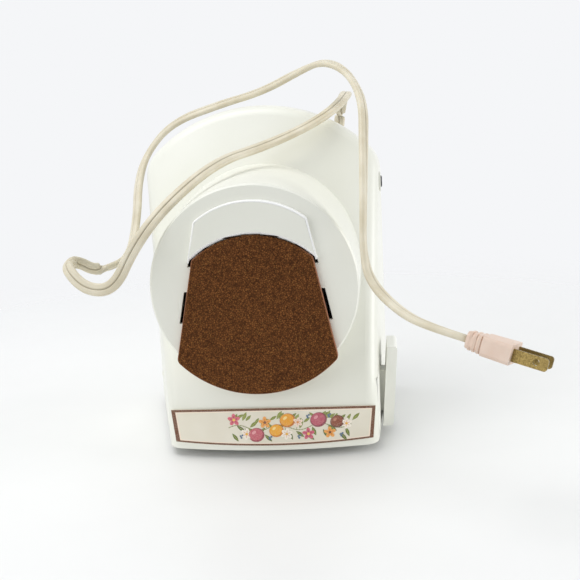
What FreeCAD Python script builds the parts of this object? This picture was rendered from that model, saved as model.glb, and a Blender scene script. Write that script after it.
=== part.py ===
import FreeCAD, Part
import math
import os

# Electric ice crusher for the kitchen worktop, in millimetres.
# Working frame: the drum's axis is the line x = 0, z = DRUM_Z along Y, the
# drum's face is the plane y = 0, the object looks towards -Y and stands on
# z = 0. Every piece is moved by (-CENTRE_X, -CENTRE_Y) when it is written.

V = FreeCAD.Vector
os.makedirs("parts", exist_ok=True)

# ---- driving dimensions ----------------------------------------------------
# housing
WALL = 2.5                # moulded wall
FOOT_H = 6.0              # feet under the base plate
RIM_Z = 5.0               # lower rim of the housing above the table
TOP_Z = 193.5             # crown of the housing
FRONT_Y = 5.0             # foremost line of the base, behind the drum's face
BULGE_R = 260.0           # plan radius of the bowed front
BULGE_X = 5.5             # the bow's centre line
KNEE_Z = 40.0             # where the front starts to lean back
LEAN = 0.60               # run back per unit of rise above the knee
KNEE_R = 60.0             # soft knee between the two
CORNER_Y = 10.0           # where the front's half widths are taken
FRONT_LEFT = -54.5
FRONT_RIGHT = 65.5
SEAM_Y = 112.0            # joint between front housing and rear cover
SEAM_LEFT = -77.5
SEAM_RIGHT = 72.0
REAR_Y = 134.0            # back of the rear cover
REAR_TAPER = 6.0          # how far the rear cover draws in
ARCH_R = 98.0             # arched top
SHOULDER_R = 22.0         # rounding between arch and sides
EDGE_R = 9.0              # rounding round the leaning front
REAR_EDGE_R = 7.0

# drum
DRUM_Z = 102.0            # height of the drum's axis
DRUM_R = 58.0
DRUM_DRAFT = 0.012        # growth of the radius per mm of depth
DRUM_LEN = 90.0           # how far back the drum's barrel is carried
FACE_T = 3.0
RIM_BEVEL = 1.0
CHAMBER_Y = 40.0          # front of the bulkhead
BULKHEAD_T = 3.0
OUTLET_HALF_X = 32.0
OUTLET_Y0 = 20.5
OUTLET_Y1 = 39.0
RAMP_H = 9.5              # ice ramp in front of the outlet

# lid and visor
LID_FRONT = 3.4           # how far lid and visor stand out
LID_GAP = 0.3             # lid's back to the drum's face
LID_TOP_HALF = 33.0
LID_TOP_Z = 18.5          # above the axis
LID_LOW_HALF = 45.0
LID_LOW_Z = -39.5
LID_OVERHANG = 2.4        # bottom edge past the drum's rim
LID_LAP = 3.0             # lid over the edge of the ice opening
VISOR_ARC_R = 50.0        # the visor's lower edge
VISOR_ARC_Z = -19.2       # its centre, from the axis
VISOR_GAP = 0.7           # visor to lid
VISOR_TOP_R = 49.4        # the visor's upper edge, round the axis
VISOR_TOP_HALF = 30.8
VISOR_LOW_HALF = 35.8
VISOR_LOW_Z = 15.8
VISOR_BEVEL = 1.0
LIP_BEVEL = 1.2           # along the visor's lower edge
HINGE_R = 0.6
HINGE_RUN = 0.05
KNUCKLE_R = 1.2
KNUCKLE_RUN = 0.35
KNUCKLE_HALF = 5.0
HINGE_HALF = 17.5
SLOT_W = 2.0              # finger slots beside the lid
SLOT_SPANS = ((-19.0, -1.0), (13.0, 20.0))

# label plate
LABEL_T = 0.8
LABEL_HALF = 58.2
LABEL_LOW_Z = 9.3
LABEL_H = 19.3            # height at its ends
LABEL_CROWN = 2.3         # extra height at the middle of the top edge
LABEL_SAG = 1.2           # and of the bottom edge
LABEL_SLANT = 0.9         # half the difference between top and bottom width

# base plate and feet
PLATE_T = 3.0
FIT = 0.3                 # plate to housing wall
FOOT_R = 7.5
STEM_R = 2.5
FEET = ((-38.0, 34.0), (50.0, 34.0), (-56.0, 116.0), (54.0, 116.0))

# ice drawer
TRAY_X0 = -47.0
TRAY_Y0 = 19.0
TRAY_Y1 = 66.0
TRAY_ROOM = 2.2           # tray's rim under the drum
TRAY_T = 2.0
TRAY_RUN = 0.3            # tray over the base plate
PANEL_T = 4.0             # least thickness of the panel in the side wall
PULL_X1 = 78.4
PULL_T = 6.2
PULL_DRAFT = 3.6          # the pull leans in towards its foot
PULL_GAP = 0.35           # pull to the side wall
PULL_Y0 = 38.0
PULL_Y1 = 62.0
PULL_LOW = 6.0
PULL_TOP = 55.0
PULL_ROUND = 2.0
WEB_HALF = 5.0            # web between panel and pull
GUIDE_T = 2.4
GUIDE_H = 11.0

# blade shaft and blades
SHAFT_R = 5.0
SHAFT_Y0 = 7.0
JOURNAL_R = 4.0
BRIDGE_Y = 55.0
BRIDGE_T = 2.5
RUN = 0.04                # radial running clearance of shafts
BLADE_ROOM = 13.5         # blade tips to the drum's outside
BLADE_T = 2.0
BLADE_W = 13.0
BLADE_Y = (12.0, 20.0, 28.0)
SPACER_R = 8.0
BUSH_T = 2.0
BOSS_R = 10.0
BOSS_Y0 = 36.6
BOSS_Y1 = 46.6
FIX_INSET = 5.4           # screw circle of the bulkhead inside the drum
COMB_Y = (16.0, 24.0, 32.0)

# gear train
MODULE = 1.0
PRESSURE = math.radians(20.0)
OUTPUT_TEETH = 48
IDLER_SMALL = 12
IDLER_LARGE = 50
PINION_TEETH = 10
BACKLASH = 0.22
GEAR1_Y = (47.6, 53.4)
GEAR2_Y = (59.6, 64.6)
IDLER_PIN_R = 3.0
IDLER_X = MODULE * (OUTPUT_TEETH + IDLER_SMALL) / 2.0

# motor
PLATE_Y = 67.0
MOTOR_PLATE_T = 2.5
MOTOR_HALF = 38.0
POST_R = 3.5
POST_XZ = 31.1
BRIDGE_POST_Z = 31.0
ARM_SHAFT_R = 3.0
STATOR_Y = (74.0, REAR_Y - 30.0)
STATOR_R = 32.0
STATOR_HALF = 29.0
YOKE_R = 25.5
BORE_R = 17.0
ARM_R = 16.3
BOLT_XZ = 25.5
BOLT_R = 2.0
BRUSH_PLATE_Y = REAR_Y - 16.2
BRUSH_PLATE_T = 1.5
BRACKET_Y = REAR_Y - 9.5
BRACKET_T = 2.5
COMM_R = 9.0
COMM_Y = (REAR_Y - 24.0, REAR_Y - 15.0)
FAN_Y = (REAR_Y - 13.6, REAR_Y - 10.8)
FAN_R = 20.0

# power switch
BUTTON_Y = 95.0
BUTTON_Z = 145.0
BUTTON_R = 3.6
BUTTON_RUN = 0.08
BUTTON_PROUD = 0.9
BEZEL_R = 5.8
BEZEL_T = 0.5
NECK_R = 5.1
SWITCH_FRONT = 5.8        # switch block in front of the button's axis
SWITCH_BACK = 0.15        # and behind the wall

# cord
CORD_W = 8.0              # width of the flat cord
RELIEF_NECK_R = 5.5
RELIEF_FLANGE_R = 8.2
RELIEF_FLANGE_T = 2.5
PLUG_TAIL = 9.0
PLUG_BODY = 15.0
PLUG_H = 10.0
PLUG_W = 24.0
PIN_L = 17.5
PIN_W = 6.35
PIN_T = 1.5
PIN_GAP = 12.7            # between the two pins' middles
PIN_HOLE_R = 1.6
PIN_HOLE_AT = 11.7

# ---- derived places --------------------------------------------------------
TRAY_Z = FOOT_H + PLATE_T + TRAY_RUN
TRAY_TOP = DRUM_Z - DRUM_R - TRAY_ROOM
FIX_RADIUS = DRUM_R - FIX_INSET
BLADE_R = DRUM_R - BLADE_ROOM
LID_BOTTOM_R = DRUM_R + LID_OVERHANG
LID_BACK = -LID_GAP
HINGE_Y = -LID_FRONT + KNUCKLE_R
HINGE_Z = DRUM_Z + VISOR_ARC_Z + VISOR_ARC_R - KNUCKLE_RUN - KNUCKLE_R
CENTRE_X = (SEAM_LEFT + PULL_X1) / 2.0
CENTRE_Y = (REAR_Y - LID_FRONT) / 2.0


# ---- small helpers ---------------------------------------------------------
def save(name, shape):
    """Write one node, moved so that the origin is under the object's middle."""
    out = shape.copy()
    out.translate(V(-CENTRE_X, -CENTRE_Y, 0))
    out.exportStep("parts/" + name + ".step")
    print(name, len(out.Solids), round(out.Volume, 1), out.isValid())


def box(x0, x1, y0, y1, z0, z1):
    return Part.makeBox(x1 - x0, y1 - y0, z1 - z0, V(x0, y0, z0))


def rod_y(r, y0, y1, x=0.0, z=DRUM_Z):
    return Part.makeCylinder(r, y1 - y0, V(x, y0, z), V(0, 1, 0))


def rod_x(r, x0, x1, y, z):
    return Part.makeCylinder(r, x1 - x0, V(x0, y, z), V(1, 0, 0))


def rod_z(r, z0, z1, x, y):
    return Part.makeCylinder(r, z1 - z0, V(x, y, z0), V(0, 0, 1))


def tube_y(outer, inner, y0, y1, x=0.0, z=DRUM_Z):
    return rod_y(outer, y0, y1, x, z).cut(rod_y(inner, y0 - 1, y1 + 1, x, z))


def slab_y(points, y0, y1):
    """A closed outline of (x, z) points, thickened from y0 to y1."""
    wire = Part.makePolygon([V(x, y0, z) for x, z in points + points[:1]])
    return Part.Face(wire).extrude(V(0, y1 - y0, 0))


def group(shapes):
    return Part.makeCompound(shapes)


def join(first, *others):
    return first.multiFuse(list(others)).removeSplitter()


def side_x(y, left):
    """The outside of a side wall of the front housing at depth y."""
    near, far = (FRONT_LEFT, SEAM_LEFT) if left else (FRONT_RIGHT, SEAM_RIGHT)
    return near + (far - near) * (y - CORNER_Y) / (SEAM_Y - CORNER_Y)


# ---- housing solids --------------------------------------------------------
def outline(y, left, right, low, inset):
    """Front view of the housing at depth y: flat bottom, arched top."""
    left += inset
    right -= inset
    arch = ARCH_R - inset
    round_r = SHOULDER_R - inset
    mid = (left + right) / 2.0
    centre_z = TOP_Z - ARCH_R
    reach = (right - left) / 2.0 - round_r
    rise = math.sqrt((arch - round_r) ** 2 - reach ** 2)
    edges = [Part.makeLine(V(left, y, low), V(right, y, low))]
    corner_z = centre_z + rise
    tip = math.atan2(rise, reach)
    half = tip / 2.0

    def on_arch(angle):
        return V(mid + arch * math.cos(angle), y, centre_z + arch * math.sin(angle))

    def on_round(angle, side):
        x = mid + side * (reach + round_r * math.cos(angle))
        return V(x, y, corner_z + round_r * math.sin(angle))

    edges.append(Part.makeLine(V(right, y, low), V(right, y, corner_z)))
    edges.append(Part.Arc(on_round(0, 1), on_round(half, 1), on_round(tip, 1)).toShape())
    edges.append(Part.Arc(on_arch(tip), on_arch(math.pi / 2), on_arch(math.pi - tip)).toShape())
    edges.append(Part.Arc(on_round(tip, -1), on_round(half, -1), on_round(0, -1)).toShape())
    edges.append(Part.makeLine(V(left, y, corner_z), V(left, y, low)))
    return Part.Wire(edges)


def loft_body(low, inset):
    """Side walls and arch, widening from the front to the seam."""
    start = -20.0
    front = outline(start, side_x(start, True), side_x(start, False), low, inset)
    rear = outline(SEAM_Y, SEAM_LEFT, SEAM_RIGHT, low, inset)
    return Part.makeLoft([front, rear], True, True)


def front_profile(low, inset):
    """Side view of the bowed front as a solid turned about an upright axis."""
    axis_y = FRONT_Y + BULGE_R
    slope = math.sqrt(1 + LEAN ** 2)
    upright = FRONT_Y + inset
    knee = KNEE_Z + inset * (1 - slope) / LEAN
    high = TOP_Z + 5.0
    top_y = upright + LEAN * (high - knee)
    angle = math.atan(LEAN)
    setback = (KNEE_R - inset) * math.tan(angle / 2.0)
    start = V(BULGE_X, upright, knee - setback)
    end_y = upright + setback * math.sin(angle)
    end = V(BULGE_X, end_y, knee + setback * math.cos(angle))
    centre_y = upright + KNEE_R - inset
    mid_y = centre_y - (KNEE_R - inset) * math.cos(angle / 2.0)
    mid_z = knee - setback + (KNEE_R - inset) * math.sin(angle / 2.0)
    edges = [Part.makeLine(V(BULGE_X, axis_y, low), V(BULGE_X, upright, low)),
             Part.makeLine(V(BULGE_X, upright, low), start),
             Part.Arc(start, V(BULGE_X, mid_y, mid_z), end).toShape(),
             Part.makeLine(end, V(BULGE_X, top_y, high)),
             Part.makeLine(V(BULGE_X, top_y, high), V(BULGE_X, axis_y, high)),
             Part.makeLine(V(BULGE_X, axis_y, high), V(BULGE_X, axis_y, low))]
    face = Part.Face(Part.Wire(edges))
    return face.revolve(V(BULGE_X, axis_y, 0), V(0, 0, 1), 360)


def front_edges(solid):
    """The edges round the bowed front: the two corners and the crest."""
    picked = []
    for edge in solid.Edges:
        middle = edge.valueAt((edge.FirstParameter + edge.LastParameter) / 2.0)
        inside = edge.BoundBox.YMax < SEAM_Y - 1.0 and edge.BoundBox.ZMax > RIM_Z + 1.0
        if inside and middle.z > RIM_Z + 1.0 and on_two_surfaces(edge, solid):
            picked.append(edge)
    return picked


def on_two_surfaces(edge, solid):
    """True where a face of the bowed front meets a side or the arch."""
    owners = [f for f in solid.Faces if any(e.isSame(edge) for e in f.Edges)]
    turned = [isinstance(f.Surface, (Part.Cylinder, Part.Cone, Part.Toroid)) or
              f.Surface.TypeId == "Part::GeomSurfaceOfRevolution" for f in owners]
    return len(owners) == 2 and turned[0] != turned[1]


def body_solid(low, inset):
    """The rounded block, made down to z = 0 and trimmed at its lower rim."""
    solid = loft_body(0.0, inset).common(front_profile(0.0, inset))
    solid = solid.makeFillet(EDGE_R - inset, front_edges(solid))
    return solid.cut(box(-200, 200, -100, 200, -10, low))


def rear_solid(low, inset):
    """The rear cover's block, drawing in from the seam to the back."""
    front = outline(SEAM_Y, SEAM_LEFT, SEAM_RIGHT, low, inset)
    back = outline(REAR_Y - inset, SEAM_LEFT + REAR_TAPER, SEAM_RIGHT - REAR_TAPER, low, inset)
    drop = 1.0 - REAR_TAPER / (TOP_Z - low)
    matrix = FreeCAD.Matrix()
    matrix.A33 = drop
    matrix.A34 = low * (1.0 - drop)
    back = back.transformGeometry(matrix)
    solid = Part.makeLoft([front, back], True, True)
    rear = [e for e in solid.Edges
            if e.BoundBox.YMin > REAR_Y - inset - 0.5 and e.BoundBox.ZMax > low + 1.0]
    return solid.makeFillet(REAR_EDGE_R - inset, rear)


def drum_cone(inset, y0, y1):
    r0 = DRUM_R + DRUM_DRAFT * y0 - inset
    r1 = DRUM_R + DRUM_DRAFT * y1 - inset
    return Part.makeCone(r0, r1, y1 - y0, V(0, y0, DRUM_Z), V(0, 1, 0))


# ---- lid outline -----------------------------------------------------------
def wedge(grow, top_z, y0, y1):
    """The lid's tapered sides, grown sideways, between flat top and bottom."""
    slope = (LID_LOW_HALF - LID_TOP_HALF) / (LID_TOP_Z - LID_LOW_Z)
    low_z = LID_LOW_Z - 30.0
    top_half = LID_TOP_HALF - slope * (top_z - LID_TOP_Z) + grow
    low_half = LID_LOW_HALF + slope * 30.0 + grow
    points = [(-top_half, DRUM_Z + top_z), (top_half, DRUM_Z + top_z),
              (low_half, DRUM_Z + low_z), (-low_half, DRUM_Z + low_z)]
    return slab_y(points, y0, y1)


def under_arc(gap, y0, y1):
    return rod_y(VISOR_ARC_R - gap, y0, y1, 0.0, DRUM_Z + VISOR_ARC_Z)


def lid_plate():
    front = -LID_FRONT
    blank = wedge(0.0, 32.0, front, LID_BACK)
    low = blank.common(rod_y(LID_BOTTOM_R, front, LID_BACK))
    trimmed = low.common(box(-90, 90, front, LID_BACK, 0, DRUM_Z + VISOR_ARC_Z))
    upper = low.common(box(-90, 90, front, LID_BACK, DRUM_Z + VISOR_ARC_Z, 250))
    upper = upper.common(under_arc(VISOR_GAP, front, LID_BACK))
    plate = join(trimmed, upper)
    corners = [e for e in plate.Edges if abs(e.BoundBox.YLength - (LID_FRONT - LID_GAP)) < 0.01
               and e.BoundBox.ZMax < DRUM_Z + LID_LOW_Z + 12.0]
    return plate.makeFillet(4.0, corners)


def lid():
    plate = lid_plate()
    rims = [e for e in plate.Edges if e.BoundBox.YMax < -LID_FRONT + 0.01]
    plate = plate.makeFillet(0.9, rims)
    top = [e for e in plate.Edges if e.BoundBox.YMin > LID_BACK - 0.01
           and e.BoundBox.ZMax > HINGE_Z and e.BoundBox.XLength > 20]
    plate = plate.makeChamfer(0.8, top)
    seat = box(-KNUCKLE_HALF, KNUCKLE_HALF, -20, 20, HINGE_Z, HINGE_Z + 20)
    knuckle = rod_x(KNUCKLE_R, -KNUCKLE_HALF, KNUCKLE_HALF, HINGE_Y, HINGE_Z)
    tongue = box(-KNUCKLE_HALF, KNUCKLE_HALF, HINGE_Y - KNUCKLE_R, LID_BACK,
                 HINGE_Z - 4.0, HINGE_Z)
    body = join(plate.cut(seat), knuckle, tongue)
    return body.cut(rod_x(HINGE_R + HINGE_RUN, -60, 60, HINGE_Y, HINGE_Z))


def visor():
    """Raised panel over the lid's top edge, with a bevelled outline."""
    def blank(grow, y0, y1):
        low = DRUM_Z + VISOR_LOW_Z - grow
        top = DRUM_Z + math.sqrt(VISOR_TOP_R ** 2 - VISOR_TOP_HALF ** 2)
        slope = (VISOR_LOW_HALF - VISOR_TOP_HALF) / (top - low)
        side = VISOR_TOP_HALF - slope * 12.0
        points = [(-VISOR_LOW_HALF - grow, low), (VISOR_LOW_HALF + grow, low),
                  (VISOR_TOP_HALF + grow, top), (side, top + 12.0),
                  (-side, top + 12.0), (-VISOR_TOP_HALF - grow, top)]
        return slab_y(points, y0, y1).common(rod_y(VISOR_TOP_R + grow, y0, y1))
    foot = blank(0.0, -LID_FRONT + VISOR_BEVEL, 0.0)
    crown = blank(-VISOR_BEVEL, -LID_FRONT, 0.0)
    panel = join(foot, crown)
    panel = panel.cut(under_arc(0.0, -10, 10))
    lip = Part.makeCone(VISOR_ARC_R + LIP_BEVEL, VISOR_ARC_R, LIP_BEVEL,
                        V(0, -LID_FRONT, DRUM_Z + VISOR_ARC_Z), V(0, 1, 0))
    panel = panel.cut(lip)
    panel = panel.cut(rod_x(KNUCKLE_R + KNUCKLE_RUN, -KNUCKLE_HALF - 0.4, KNUCKLE_HALF + 0.4,
                            HINGE_Y, HINGE_Z))
    return panel.cut(rod_x(HINGE_R, -HINGE_HALF, HINGE_HALF, HINGE_Y, HINGE_Z))


def ice_opening():
    """The hole in the drum's face that the lid covers."""
    hole = wedge(-LID_LAP, 24.0, -5, FACE_T + 1)
    return hole.common(rod_y(DRUM_R - WALL - LID_LAP, -5, FACE_T + 1))


def side_slots():
    slope = (LID_LOW_HALF - LID_TOP_HALF) / (LID_TOP_Z - LID_LOW_Z)
    cuts = []
    for low, high in SLOT_SPANS:
        for side in (-1, 1):
            at_low = LID_TOP_HALF + slope * (LID_TOP_Z - low)
            at_high = LID_TOP_HALF + slope * (LID_TOP_Z - high)
            points = [(side * (at_low - 1.2), DRUM_Z + low),
                      (side * (at_low + SLOT_W), DRUM_Z + low),
                      (side * (at_high + SLOT_W), DRUM_Z + high),
                      (side * (at_high - 1.2), DRUM_Z + high)]
            cuts.append(slab_y(points, -5, FACE_T + 1))
    return group(cuts)


# ---- fixing points ---------------------------------------------------------
def bulkhead_points():
    angles = (45.0, 135.0, 225.0, 315.0)
    return [(FIX_RADIUS * math.cos(math.radians(a)),
             DRUM_Z + FIX_RADIUS * math.sin(math.radians(a))) for a in angles]


SEAM_BOSS_R = 4.5
SEAM_SCREW_R = 1.5
SEAM_PLACES = ((10.5, 24.0, 0.0), (17.0, 157.0, 1.6))    # inset, height, fall of the wall there
BASE_BOSSES = ((-1, 84.0), (1, 84.0))
BASE_INSET = 10.0
BASE_BOSS_TOP = 26.0


def seam_points():
    """Where the rear cover's screws go: (x, z, side, fall of the wall)."""
    points = []
    for inset, z, fall in SEAM_PLACES:
        points.append((SEAM_LEFT + REAR_TAPER + inset, z, -1, fall))
        points.append((SEAM_RIGHT - REAR_TAPER - inset, z, 1, fall))
    return points


def base_points():
    """Where the base plate's screws go: (x, y, side)."""
    return [(side_x(y, side < 0) - side * BASE_INSET, y, side) for side, y in BASE_BOSSES]


# ---- front housing ---------------------------------------------------------
def housing_bosses():
    pieces = []
    for x, z in bulkhead_points():
        pieces.append(rod_y(4.0, 30.0, CHAMBER_Y, x, z))
    for x, z, side, fall in seam_points():
        pieces.append(rod_y(SEAM_BOSS_R, SEAM_Y - 18.0, SEAM_Y, x, z))
        wall = side_x(SEAM_Y - 9.0, side < 0) - side * (WALL / 2.0 + fall)
        low, high = min(x, wall), max(x, wall)
        pieces.append(box(low, high, SEAM_Y - 17.0, SEAM_Y - 0.5, z - 1.2, z + 1.2))
    for x, y, side in base_points():
        pieces.append(rod_z(4.5, FOOT_H + PLATE_T, BASE_BOSS_TOP, x, y))
        wall = side_x(y, side < 0) - side * WALL / 2.0
        low, high = min(x, wall), max(x, wall)
        pieces.append(box(low, high, y - 1.2, y + 1.2, FOOT_H + PLATE_T, BASE_BOSS_TOP))
    return pieces


def housing_holes():
    cuts = [ice_opening(), side_slots()]
    cuts.append(box(-OUTLET_HALF_X, OUTLET_HALF_X, OUTLET_Y0, OUTLET_Y1,
                    DRUM_Z - DRUM_R - 4.0, DRUM_Z - DRUM_R + 12.0))
    cuts.append(box(SEAM_RIGHT - 30.0, SEAM_RIGHT + 5.0, TRAY_Y0 - 0.8, TRAY_Y1 + 0.8,
                    TRAY_Z - 0.6, TRAY_TOP + 0.6))
    cuts.append(rod_x(NECK_R, SEAM_RIGHT - 20.0, SEAM_RIGHT + 5.0, BUTTON_Y, BUTTON_Z))
    for x, z in bulkhead_points():
        cuts.append(rod_y(1.4, CHAMBER_Y - 8.0, CHAMBER_Y + 1.0, x, z))
    for x, z, side, fall in seam_points():
        cuts.append(rod_y(SEAM_SCREW_R, SEAM_Y - 14.0, SEAM_Y + 1.0, x, z))
    for x, y, side in base_points():
        cuts.append(rod_z(SEAM_SCREW_R, FOOT_H, BASE_BOSS_TOP - 4.0, x, y))
    return cuts


def front_housing():
    outer = body_solid(RIM_Z, 0.0)
    inner = body_solid(RIM_Z - 3.0, WALL)
    inner = inner.fuse(inner.common(box(-200, 200, SEAM_Y - 1, SEAM_Y + 1, -10, 300)))
    shell = outer.cut(inner)
    barrel = drum_cone(0.0, 0.0, DRUM_LEN)
    rim = [e for e in barrel.Edges if e.BoundBox.YMax < 0.01 and len(e.Vertexes) == 1]
    barrel = barrel.makeChamfer(RIM_BEVEL, rim)
    hollow = drum_cone(WALL, FACE_T, DRUM_LEN + 1.0)
    behind = box(-200, 200, CHAMBER_Y + BULKHEAD_T, 200, -10, 300)
    barrel = barrel.cut(hollow).cut(inner.common(behind))
    shell = shell.cut(hollow)
    body = join(shell, barrel, *housing_bosses())
    return body.cut(housing_holes())


def rear_cover():
    shell = rear_solid(RIM_Z, 0.0).cut(rear_solid(RIM_Z - 3.0, WALL))
    bosses = [rod_y(SEAM_BOSS_R, SEAM_Y, REAR_Y - WALL / 2.0, x, z) for x, z, side, fall in seam_points()]
    body = join(shell, *bosses)
    cuts = []
    for x, z, side, fall in seam_points():
        cuts.append(rod_y(1.9, SEAM_Y - 1, REAR_Y + 1, x, z))
        cuts.append(rod_y(3.6, REAR_Y - 3.2, REAR_Y + 1, x, z))
    cuts += vent_slots()
    cuts.append(relief_cut())
    return body.cut(cuts)


VENT_COUNT = 9
VENT_PITCH = 7.0
VENT_W = 3.0
VENT_H = 34.0


def vent_slots():
    cuts = []
    for row in range(VENT_COUNT):
        z = DRUM_Z + (row - (VENT_COUNT - 1) / 2.0) * VENT_PITCH
        cuts.append(box(-VENT_H, VENT_H, REAR_Y - WALL - 2, REAR_Y + 1, z - VENT_W / 2, z + VENT_W / 2))
    return cuts


# ---- base ------------------------------------------------------------------
def base_plate():
    slab = box(-200, 200, -10, 200, FOOT_H, FOOT_H + PLATE_T)
    front = body_solid(RIM_Z - 3.0, WALL + FIT)
    rear = rear_solid(RIM_Z - 3.0, WALL + FIT)
    plate = join(front.common(slab), rear.common(slab))
    cuts = [rod_z(STEM_R, 0, 30, x, y) for x, y in FEET]
    cuts += [rod_z(1.7, 0, 30, x, y) for x, y, side in base_points()]
    cuts += [rod_z(3.3, 0, FOOT_H + 1.6, x, y) for x, y, side in base_points()]
    return plate.cut(cuts)


def feet():
    pads = []
    for x, y in FEET:
        pad = rod_z(FOOT_R, 0, FOOT_H, x, y)
        low = [e for e in pad.Edges if e.BoundBox.ZMax < 0.01]
        pad = pad.makeFillet(1.2, low)
        stem = rod_z(STEM_R, FOOT_H - 1, FOOT_H + PLATE_T, x, y)
        pads.append(join(pad, stem))
    return group(pads)


def label_plate():
    """Foil-thin plate with a crowned outline, on the bowed front."""
    axis_y = FRONT_Y + BULGE_R
    low = LABEL_LOW_Z
    high = LABEL_LOW_Z + LABEL_H
    x = BULGE_X
    top = LABEL_HALF + LABEL_SLANT
    bottom = LABEL_HALF - LABEL_SLANT
    edges = [Part.makeLine(V(x - bottom, 0, low), V(x - top, 0, high)),
             Part.Arc(V(x - top, 0, high), V(x, 0, high + LABEL_CROWN), V(x + top, 0, high)).toShape(),
             Part.makeLine(V(x + top, 0, high), V(x + bottom, 0, low)),
             Part.Arc(V(x + bottom, 0, low), V(x, 0, low - LABEL_SAG), V(x - bottom, 0, low)).toShape()]
    face = Part.Face(Part.Wire(edges))
    face.translate(V(0, -20, 0))
    prism = face.extrude(V(0, 60, 0))
    ring = rod_z(BULGE_R + LABEL_T, 0, 60, BULGE_X, axis_y)
    return prism.common(ring.cut(rod_z(BULGE_R, -1, 61, BULGE_X, axis_y)))


# ---- ice drawer ------------------------------------------------------------
def drawer_pull():
    """Upright plate outside the side wall, leaning in towards its foot."""
    low_x = PULL_X1 - PULL_DRAFT
    points = [(low_x - PULL_T, PULL_LOW), (low_x, PULL_LOW),
              (PULL_X1, PULL_TOP), (PULL_X1 - PULL_T, PULL_TOP)]
    plate = slab_y(points, PULL_Y0, PULL_Y1)
    outer = [e for e in plate.Edges if e.BoundBox.XMin > low_x - 0.01 and e.BoundBox.YLength > 5]
    plate = plate.makeFillet(PULL_ROUND, outer)
    return plate.cut(loft_body(RIM_Z - 3.0, -PULL_GAP))


def ice_drawer():
    """Tray whose end panel closes the side wall's opening, with its pull."""
    end = side_x(TRAY_Y0, False) - PANEL_T
    tray = box(TRAY_X0, SEAM_RIGHT + 5.0, TRAY_Y0, TRAY_Y1, TRAY_Z, TRAY_TOP)
    posts = [e for e in tray.Edges if e.BoundBox.ZLength > 10 and e.BoundBox.XMax < TRAY_X0 + 1]
    tray = tray.makeFillet(5.0, posts).common(loft_body(RIM_Z - 3.0, 0.0))
    hollow = box(TRAY_X0 + TRAY_T, end, TRAY_Y0 + TRAY_T, TRAY_Y1 - TRAY_T,
                 TRAY_Z + TRAY_T, TRAY_TOP + 5)
    posts = [e for e in hollow.Edges if e.BoundBox.ZLength > 10 and e.BoundBox.XMax < TRAY_X0 + 3]
    hollow = hollow.makeFillet(3.0, posts)
    middle = (PULL_Y0 + PULL_Y1) / 2.0
    web = box(end, PULL_X1 - PULL_T + 0.5, middle - WEB_HALF, middle + WEB_HALF, TRAY_Z + 4.0, TRAY_TOP - 3.0)
    return join(tray.cut(hollow), drawer_pull(), web)


def drawer_guides():
    """Two upright rails on the base plate, beside the tray."""
    z0 = FOOT_H + PLATE_T
    x0 = TRAY_X0 + 4.0
    rails = []
    for y0, y1 in ((TRAY_Y0 - 0.35 - GUIDE_T, TRAY_Y0 - 0.35), (TRAY_Y1 + 0.35, TRAY_Y1 + 0.35 + GUIDE_T)):
        rails.append(box(x0, FRONT_RIGHT - 8.0, y0, y1, z0, z0 + GUIDE_H))
    return group(rails)


# ---- crushing parts --------------------------------------------------------
def bulkhead():
    r = DRUM_R + DRUM_DRAFT * CHAMBER_Y - WALL - 0.2
    disc = rod_y(r, CHAMBER_Y, CHAMBER_Y + BULKHEAD_T)
    boss = rod_y(BOSS_R, BOSS_Y0, BOSS_Y1)
    pin_boss = rod_y(IDLER_PIN_R + 3.0, CHAMBER_Y, CHAMBER_Y + BULKHEAD_T + 3.0, IDLER_X)
    body = join(disc, boss, pin_boss)
    cuts = [rod_y(SHAFT_R + RUN + BUSH_T, BOSS_Y0 - 1, BOSS_Y1 + 1),
            rod_y(IDLER_PIN_R, CHAMBER_Y + 1, CHAMBER_Y + 20, IDLER_X)]
    cuts += [rod_y(1.8, CHAMBER_Y - 1, CHAMBER_Y + 9, x, z) for x, z in bulkhead_points()]
    return body.cut(cuts)


def ice_ramp():
    """Sloping floor that sheds the crushed ice into the outlet."""
    low = DRUM_Z - DRUM_R
    y0 = FACE_T + 0.1
    y1 = OUTLET_Y0
    points = [V(-OUTLET_HALF_X, y0, low), V(-OUTLET_HALF_X, y1, low),
              V(-OUTLET_HALF_X, y1, low + WALL + 2.0), V(-OUTLET_HALF_X, y0, low + WALL + RAMP_H)]
    face = Part.Face(Part.makePolygon(points + points[:1]))
    wedge_block = face.extrude(V(2 * OUTLET_HALF_X, 0, 0))
    return wedge_block.common(drum_cone(WALL + 0.05, FACE_T, CHAMBER_Y))


def screw_y(r, head_r, head_t, y_head, y_end, x, z):
    """A screw along Y: its head's outer face at y_head, its tip at y_end."""
    sign = 1.0 if y_end > y_head else -1.0
    seat = y_head + sign * head_t
    head = rod_y(head_r, min(y_head, seat), max(y_head, seat), x, z)
    shank = rod_y(r, min(seat, y_end) - 0.2, max(seat, y_end) + 0.2, x, z)
    slot = box(x - head_r, x + head_r, y_head - 0.7, y_head + 0.7, z - 0.5, z + 0.5)
    return head.fuse(shank).cut(slot)


def bulkhead_screws():
    back = CHAMBER_Y + BULKHEAD_T
    return group([screw_y(1.3, 2.8, 2.0, back + 2.0, CHAMBER_Y - 7.0, x, z)
                  for x, z in bulkhead_points()])


def crushing_comb():
    """Fixed comb on the chamber's left wall; the blades pass between its teeth."""
    x0 = -(DRUM_R - 4.0)
    bar = box(x0, x0 + 5.0, 10.0, CHAMBER_Y, DRUM_Z - 6.0, DRUM_Z + 6.0)
    teeth = [box(x0 + 4.0, -16.0, y, y + BLADE_T, DRUM_Z - 4.0, DRUM_Z + 4.0) for y in COMB_Y]
    return join(bar, *teeth)


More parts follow.
